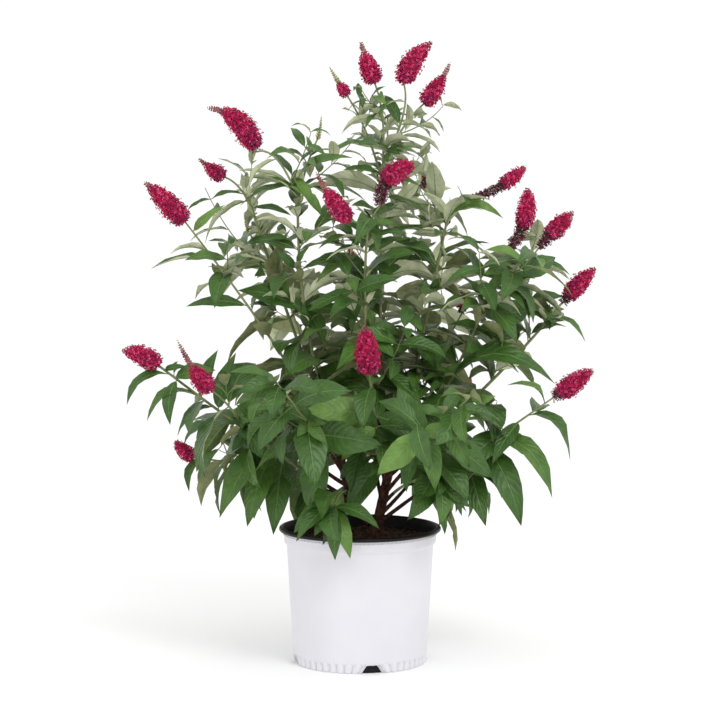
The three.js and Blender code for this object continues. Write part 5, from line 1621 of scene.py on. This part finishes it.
# %% Profile of the pot, in millimetres
FOOT_RADIUS, WALL_TOP_RADIUS, WALL_TOP = 115, 126.8, 206
BAND_RADIUS, BAND_BOTTOM, BAND_FLARE = 131.4, 209.5, 0.6
LIP_RADIUS, LIP_BOTTOM, LIP_INNER, POT_TOP = 140, 228, 132.5, 236
DRAIN_TURN, DRAIN_BACK, DRAIN_HEIGHT = np.radians(11), 106, 14.5
DRAIN_HALF_LOW, DRAIN_HALF_HIGH, DRAIN_TAPER = 21.9, 11.5, 3.4
PLEATS, PLEAT_TOP, PLEAT_DEPTH, PLEAT_ROUND, PLEAT_FADE = 52, 21, 4.2, 0.7, 4
PLEAT_SHORTEST, PLEAT_LONGER = 0.72, 0.28
SHOULDER_FROM, SHOULDER_TO, FOOT_ROUND = WALL_TOP - 2, BAND_BOTTOM + 1.5, 1.5
RING_SIDES, EDGE_COLUMN, NEAR_COLUMN = PLEATS * 12, 0.16, 0.42
COLUMN_GAP, EDGE_SLACK, TWIN_NUDGE = 0.004, 1e-6, 1e-5


def about_pot(radius, turn, z):
    """Points at a radius and a height, turned from the front round the pot's middle."""
    return np.stack(np.broadcast_arrays(radius * np.sin(turn), -radius * np.cos(turn), z), -1)


def wall_radius(z):
    """The straight slope of the wall, with a soft shoulder t^2 (3 - 2t) to the collar."""
    slope = FOOT_RADIUS + (WALL_TOP_RADIUS - FOOT_RADIUS) * z / WALL_TOP
    collar = BAND_RADIUS + BAND_FLARE * (z - BAND_BOTTOM) / (LIP_BOTTOM - BAND_BOTTOM)
    rise = np.clip((z - SHOULDER_FROM) / (SHOULDER_TO - SHOULDER_FROM), 0, 1)
    ease = rise * rise * (3 - 2 * rise)
    return mix(slope, collar, ease) - FOOT_ROUND * np.clip(1 - z / FOOT_ROUND, 0, 1)

# %% Pleats round the foot, and the shift of the columns at the openings
def pleat_relief(z, turn):
    """How far the foot is pressed in: narrow grooves between rounded pleats that
    end in a round top, depth (1 - |sin|^0.7) times a fade with height."""
    ridge = np.abs(np.sin(turn * PLEATS / 2))
    top = PLEAT_TOP * (PLEAT_SHORTEST + PLEAT_LONGER * ridge)
    fade = np.clip((top - z) / PLEAT_FADE, 0, 1)
    return PLEAT_DEPTH * (1 - ridge ** PLEAT_ROUND) * fade * fade * (3 - 2 * fade)


def drain_shift(turn, z, inside):
    """Turns moved so that the edge column lies on the slanted edge at height z;
    the columns inside an opening draw together toward its back."""
    quarter = np.pi / 2
    local = (turn - DRAIN_TURN + quarter / 2) % quarter - quarter / 2
    half = mix(DRAIN_HALF_LOW, DRAIN_HALF_HIGH, np.clip(z / DRAIN_HEIGHT, 0, 1)) / FOOT_RADIUS
    half = half - np.where(inside, DRAIN_TAPER / FOOT_RADIUS, 0)
    s, side = np.abs(local), np.sign(local)
    moved = np.where(s <= EDGE_COLUMN, s / EDGE_COLUMN * half,
                     half + (s - EDGE_COLUMN) * (NEAR_COLUMN - half) / (NEAR_COLUMN - EDGE_COLUMN))
    moved = np.where(s > NEAR_COLUMN, s, moved)
    return turn - local + side * moved


def wall_columns():
    """Turns of the columns and which of them lie inside an opening; edges doubled."""
    even = round_turns(RING_SIDES)
    edges = [DRAIN_TURN + k * np.pi / 2 + s * EDGE_COLUMN for k in range(4) for s in (-1, 1)]
    edges = np.array(edges) % (2 * np.pi)
    nearest = np.abs((even[:, None] - edges[None] + np.pi) % (2 * np.pi) - np.pi).min(axis=1)
    even = even[nearest > COLUMN_GAP]
    turns = np.concatenate([even, edges, edges])
    local = (turns - DRAIN_TURN + np.pi / 4) % (np.pi / 2) - np.pi / 4
    inside = np.abs(local) < EDGE_COLUMN - EDGE_SLACK
    inner = slice(len(even), len(even) + len(edges))
    inside[inner] = True
    inside[inner.stop:] = False
    # The order round the pot: at an edge the inner twin stands on the inner side.
    nudge = np.zeros(len(turns))
    nudge[inner] = -np.sign(local[inner]) * TWIN_NUDGE
    order = np.argsort(turns + nudge)
    return turns[order], inside[order]

# %% The wall, ring by ring
def pot_wall():
    """The outer wall as white faces and the faces of the openings as black ones: the pot's black plastic
    seen into a drain slot, with the shade in it painted in.
    """
    turns, inside = wall_columns()
    low = [0, 0.7, 1.5, 3, 5, 7, 9, 11, 12.5, 13.6, DRAIN_HEIGHT]
    high = [DRAIN_HEIGHT, 15.5, 16.5, 17.5, 18.5, 20, 24, 40, 70, 110, 150, 190, 200,
            *np.linspace(SHOULDER_FROM, SHOULDER_TO, 9), 216, 224, LIP_BOTTOM + 1]
    rings, masks = [], []
    for z, cut in [(z, True) for z in low] + [(z, False) for z in high]:
        rise = np.clip((z - DRAIN_HEIGHT) / (PLEAT_TOP - DRAIN_HEIGHT), 0, 1)
        turn = mix(drain_shift(turns, z, inside & cut), turns, rise)
        radius = wall_radius(z) - pleat_relief(z, turns)
        radius = np.where(inside & cut, DRAIN_BACK, radius)
        rings.append(about_pot(radius, turn, z))
        masks.append(inside if cut else np.zeros(len(turns), bool))
    rings, masks = np.array(rings), np.array(masks)
    faces = grid_faces(len(rings), len(turns), wrap=True)
    black = masks.ravel()[faces].all(axis=1)
    return rings.reshape(-1, 3), faces, black, rings[0]

# %% Turned surfaces, and surfaces cut out of a grid
def lathe(profile, sides):
    """A turned surface through (radius, height) points."""
    r, z = vec(profile).T[..., None]
    rings = about_pot(r, round_turns(sides), z)
    return rings.reshape(-1, 3), grid_faces(len(r), sides, wrap=True)


def only(corners, faces):
    """The faces with just the corners they use, twins made one, slivers left out."""
    used, index = np.unique(np.round(corners[faces.ravel()], 4), axis=0, return_inverse=True)
    faces = index.reshape(-1, 3)
    whole = (faces[:, 0] != faces[:, 1]) & (faces[:, 1] != faces[:, 2]) & (faces[:, 2] != faces[:, 0])
    return used, faces[whole]


def arc(radius, height, bend, start, end, count):
    """Points (radius, height) on a bend round a centre, angles in degrees."""
    a = np.radians(np.linspace(start, end, count))
    return [(radius + bend * np.cos(x), height + bend * np.sin(x)) for x in a]

# %% The white wall, the black openings and the underside
corners, faces, black, foot_ring = pot_wall()
white_wall = only(corners, faces[~black])
recess = only(corners, faces[black])
under = np.concatenate([foot_ring, [[0, 0, 0]]])
k = np.arange(len(foot_ring))
underside = (under, np.stack([k, np.full_like(k, len(foot_ring)), (k + 1) % len(foot_ring)], 1))
print("faces of the white wall", len(white_wall[1]), "and of the openings", len(recess[1]))

# %% Short bars round the collar
DASHES, DASH_Z, DASH_HIGH, DASH_RADIUS, DASH_IN, DASH_OUT = 104, 223.6, 2.0, 0.5, -0.4, 1.3
DASH_SHARE, DASH_NARROWER, DASH_LOWER = 0.66, 0.9, 0.7


def dashes():
    """A ring of short raised bars on the collar, eight corners each, smaller on top."""
    middle = round_turns(DASHES)
    half = DASH_SHARE * np.pi / DASHES
    bars = []
    for out, narrower, lower in ((DASH_IN, 1, 1), (DASH_OUT, DASH_NARROWER, DASH_LOWER)):
        for z in (-0.5, 0.5):
            for s in (-1, 1):
                turn = middle + s * half * narrower
                radius = BAND_RADIUS + DASH_RADIUS + out
                bars.append(about_pot(radius, turn, DASH_Z + z * DASH_HIGH * lower))
    bars = np.stack(bars, 1)
    cube = np.array([(4, 5, 7), (4, 7, 6), (0, 4, 6), (0, 6, 2), (5, 1, 3), (5, 3, 7),
                     (6, 7, 3), (6, 3, 2), (0, 1, 5), (0, 5, 4)])
    return bars.reshape(-1, 3), repeated(cube, DASHES, 8)

# %% The rolled lip, and the wall inside it, as (radius, height) points
ROLL, RIM_SIDES, INSIDE_SIDES = 3.6, 240, 120
RIM_PROFILE = [(BAND_RADIUS - 0.5, LIP_BOTTOM - 0.8), (135.4, LIP_BOTTOM - 0.2),
               *arc(LIP_RADIUS - ROLL, LIP_BOTTOM + ROLL, ROLL, -80, 90, 14),
               (135.6, POT_TOP - 0.5),
               *arc(LIP_INNER + 2.2, POT_TOP - 2.6, 2.2, 90, 180, 7),
               (131.4, 230), (130.2, 222)]
INSIDE_PROFILE = [(130.2, 222), (129.4, 214), (124.4, WALL_TOP), (114.4, 27), (90, 4), (0, 4)]

# %% Finish and place the pot: wall, openings, lip and inside
white_plastic, tree, shader = new_material("white_plastic", 0.38, 0.45)
mottled(tree, shader, srgb(222, 221, 226), srgb(214, 213, 219), 9.0, 0.5)
grained(tree, shader, 260.0, 0.08, 0.0005)
black_plastic, tree, shader = new_material("black_plastic", 0.42, 0.2)
mottled(tree, shader, srgb(24, 17, 19), srgb(15, 11, 12), 30.0, 0.6)
grained(tree, shader, 500.0, 0.12, 0.0004)
put("pot_wall", *gathered([white_wall, underside, dashes()]), white_plastic, "pot", ("pot",))
# The black backs of the drain openings: the pot's black plastic, with the shade inside the slots painted
# in.
put("pot_drains", *recess, black_plastic, "pot")
put("pot_rim", *lathe(RIM_PROFILE, RIM_SIDES), black_plastic, "pot")
put("pot_inside", *only(*lathe(INSIDE_PROFILE, INSIDE_SIDES)), black_plastic, "pot")

# %% [markdown]
# ## Soil
# Potting soil is dark and crumbly.  A flat disc with a bump pattern looks like
# paint from this low angle, so the surface is a disc of real hills and hollows,
# and lumps of many sizes are strewn over it.

# %% Soil and crumbs
SOIL_REACH, SOIL_EDGE_Z, SOIL_TOP_Z, MOUND_FLAT, MOUND_SLOPE = 129.6, 213.5, 216.8, 60, 70
SOIL_WAVES = ((41, 0.9, 0.4), (23, 0.8, 1.9), (11, 0.6, 3.1), (5.5, 0.45, 5.2))
GROUND_RINGS, GROUND_SIDES = 44, 150
# Lumps: how many, the least and the greatest size, and how flat.
CRUMBS, CHIPS = (1500, 0.9, 4.2, 0.8), (260, 0.8, 3.4, 0.5)
LUMP_RISE, LUMP_UNEVEN, LUMP_NARROWER = 0.25, (0.6, 1.15), 0.8
WAVE_X, WAVE_Y, WAVE_BEND, WAVE_BENDS = 6.3, 5.1, 1.3, 3


def soil_height(x, y):
    """Height: a low mound plus waves of falling length (their length, height and
    angle), each one sine across another, so that hills and hollows take turns."""
    r = np.hypot(x, y)
    z = mix(SOIL_TOP_Z, SOIL_EDGE_Z, np.clip((r - MOUND_FLAT) / MOUND_SLOPE, 0, 1))
    for length, high, a in SOIL_WAVES:
        bend = WAVE_BEND * np.sin(y / length * WAVE_BENDS)
        first = np.sin(x * np.cos(a) / length * WAVE_X + bend)
        z = z + high * first * np.sin((y * np.cos(a) - x * np.sin(a)) / length * WAVE_Y + a)
    return z


ring_r = np.concatenate([[0], np.linspace(4, SOIL_REACH, GROUND_RINGS)])
ring_turn = round_turns(GROUND_SIDES)
sx, sy = ring_r[:, None] * np.sin(ring_turn), -ring_r[:, None] * np.cos(ring_turn)
ground = np.stack([sx, sy, soil_height(sx, sy)], -1).reshape(-1, 3)
ground = only(ground, grid_faces(len(ring_r), GROUND_SIDES, wrap=True)[:, ::-1])

LUMP = np.array([(1, 0, 0), (-1, 0, 0), (0, 1, 0), (0, -1, 0), (0, 0, 1), (0, 0, -1),
                 (0.6, 0.6, 0.6), (-0.6, 0.6, 0.6), (-0.6, -0.6, 0.6), (0.6, -0.6, 0.6)])
LUMP_FACES = np.array([(0, 6, 9), (6, 4, 9), (6, 2, 4), (2, 7, 4), (2, 1, 7), (7, 1, 8), (7, 8, 4),
                       (8, 3, 4), (3, 9, 4), (3, 0, 9), (8, 1, 3), (0, 2, 6), (5, 2, 0), (5, 1, 2),
                       (5, 3, 1), (5, 0, 3)])


def lumps(count, least, most, flat):
    """Uneven lumps strewn evenly over the soil: the radius is the square root of a throw."""
    r = (SOIL_REACH - most) * np.sqrt(rng.random(count))
    turn = rng.uniform(0, 2 * np.pi, count)
    x, y = r * np.sin(turn), -r * np.cos(turn)
    size = least * (most / least) ** (rng.random(count) ** 2)
    at = np.stack([x, y, soil_height(x, y) + LUMP_RISE * size * flat], -1)
    shape = LUMP[None] * rng.uniform(*LUMP_UNEVEN, (count, len(LUMP), 1))
    spin = rng.uniform(0, 2 * np.pi, count)
    c, s = np.cos(spin)[:, None], np.sin(spin)[:, None]
    long, wide, high = shape[..., 0], LUMP_NARROWER * shape[..., 1], shape[..., 2] * flat
    turned = np.stack([long * c - wide * s, long * s + wide * c, high], -1)
    corners = at[:, None] + size[:, None, None] * turned
    return corners.reshape(-1, 3), repeated(LUMP_FACES, count, len(LUMP))


earth, tree, shader = new_material("soil", 0.95, 0.15)
mottled(tree, shader, srgb(104, 80, 67), srgb(60, 45, 38), 130.0, 1.2)
grained(tree, shader, 900.0, 0.7, 0.0009)
chips = plain_mottled("soil_chips", 0.9, srgb(140, 104, 80), srgb(92, 66, 52), 120.0)
put("soil_surface", *gathered([ground, lumps(*CRUMBS)]), earth, "soil", ("soil",))
put("soil_chips", *lumps(*CHIPS), chips, "soil")

# %% [markdown]
# ## Stage, light and camera
# A pale floor and a bright even studio: a broad lamp to the right in front, a
# wider and weaker one to the left, and white all round.  A sky could light the
# plant as well, but plain white leaves its colours as they are.

# %% Stage
STAGE_HALF, STAGE_WHITE, STUDIO_STRENGTH = 8.0, 0.97, 1.04
floor_mesh = bpy.data.meshes.new("floor")
floor_mesh.from_pydata([(-STAGE_HALF, -STAGE_HALF, 0), (STAGE_HALF, -STAGE_HALF, 0),
                        (STAGE_HALF, STAGE_HALF, 0), (-STAGE_HALF, STAGE_HALF, 0)], [], [(0, 1, 2, 3)])
floor = bpy.data.objects.new("floor", floor_mesh)
bpy.context.collection.objects.link(floor)
pale, tree, shader = new_material("pale_floor", 0.9, 0.1)
shader.inputs["Base Color"].default_value = (STAGE_WHITE, STAGE_WHITE, STAGE_WHITE, 1)
floor_mesh.materials.append(pale)

world = bpy.data.worlds.new("studio")
bpy.context.scene.world = world
world.use_nodes = True
background = world.node_tree.nodes["Background"]
background.inputs["Color"].default_value = (1, 1, 1, 1)
background.inputs["Strength"].default_value = STUDIO_STRENGTH
bpy.context.scene.view_settings.view_transform = "Standard"


def lamp(name, at, toward, size, power):
    """A square soft lamp at a place in metres, looking at another place."""
    data = bpy.data.lights.new(name, "AREA")
    data.size, data.energy = size, power
    made = bpy.data.objects.new(name, data)
    bpy.context.collection.objects.link(made)
    made.location = at
    way = vec(toward) - vec(at)
    flat = np.hypot(way[0], way[1])
    made.rotation_euler = (np.pi / 2 + np.arctan2(way[2], flat), 0, np.arctan2(-way[0], way[1]))


lamp("key", (1.3, -2.7, 3.0), (0, 0, 0.5), 1.2, 46)
lamp("fill", (-2.4, -1.8, 1.6), (0, 0, 0.5), 1.8, 6)

# %% Camera
CAMERA_AT, CAMERA_PITCH, CAMERA_LENS, CAMERA_FILM = (0, -4.0, 0.860), 4.815, 116.8, 36
camera_data = bpy.data.cameras.new("camera")
camera_data.lens, camera_data.sensor_width = CAMERA_LENS, CAMERA_FILM
camera = bpy.data.objects.new("camera", camera_data)
bpy.context.collection.objects.link(camera)
camera.location = CAMERA_AT
camera.rotation_euler = (np.radians(90 - CAMERA_PITCH), 0, 0)
bpy.context.scene.camera = camera
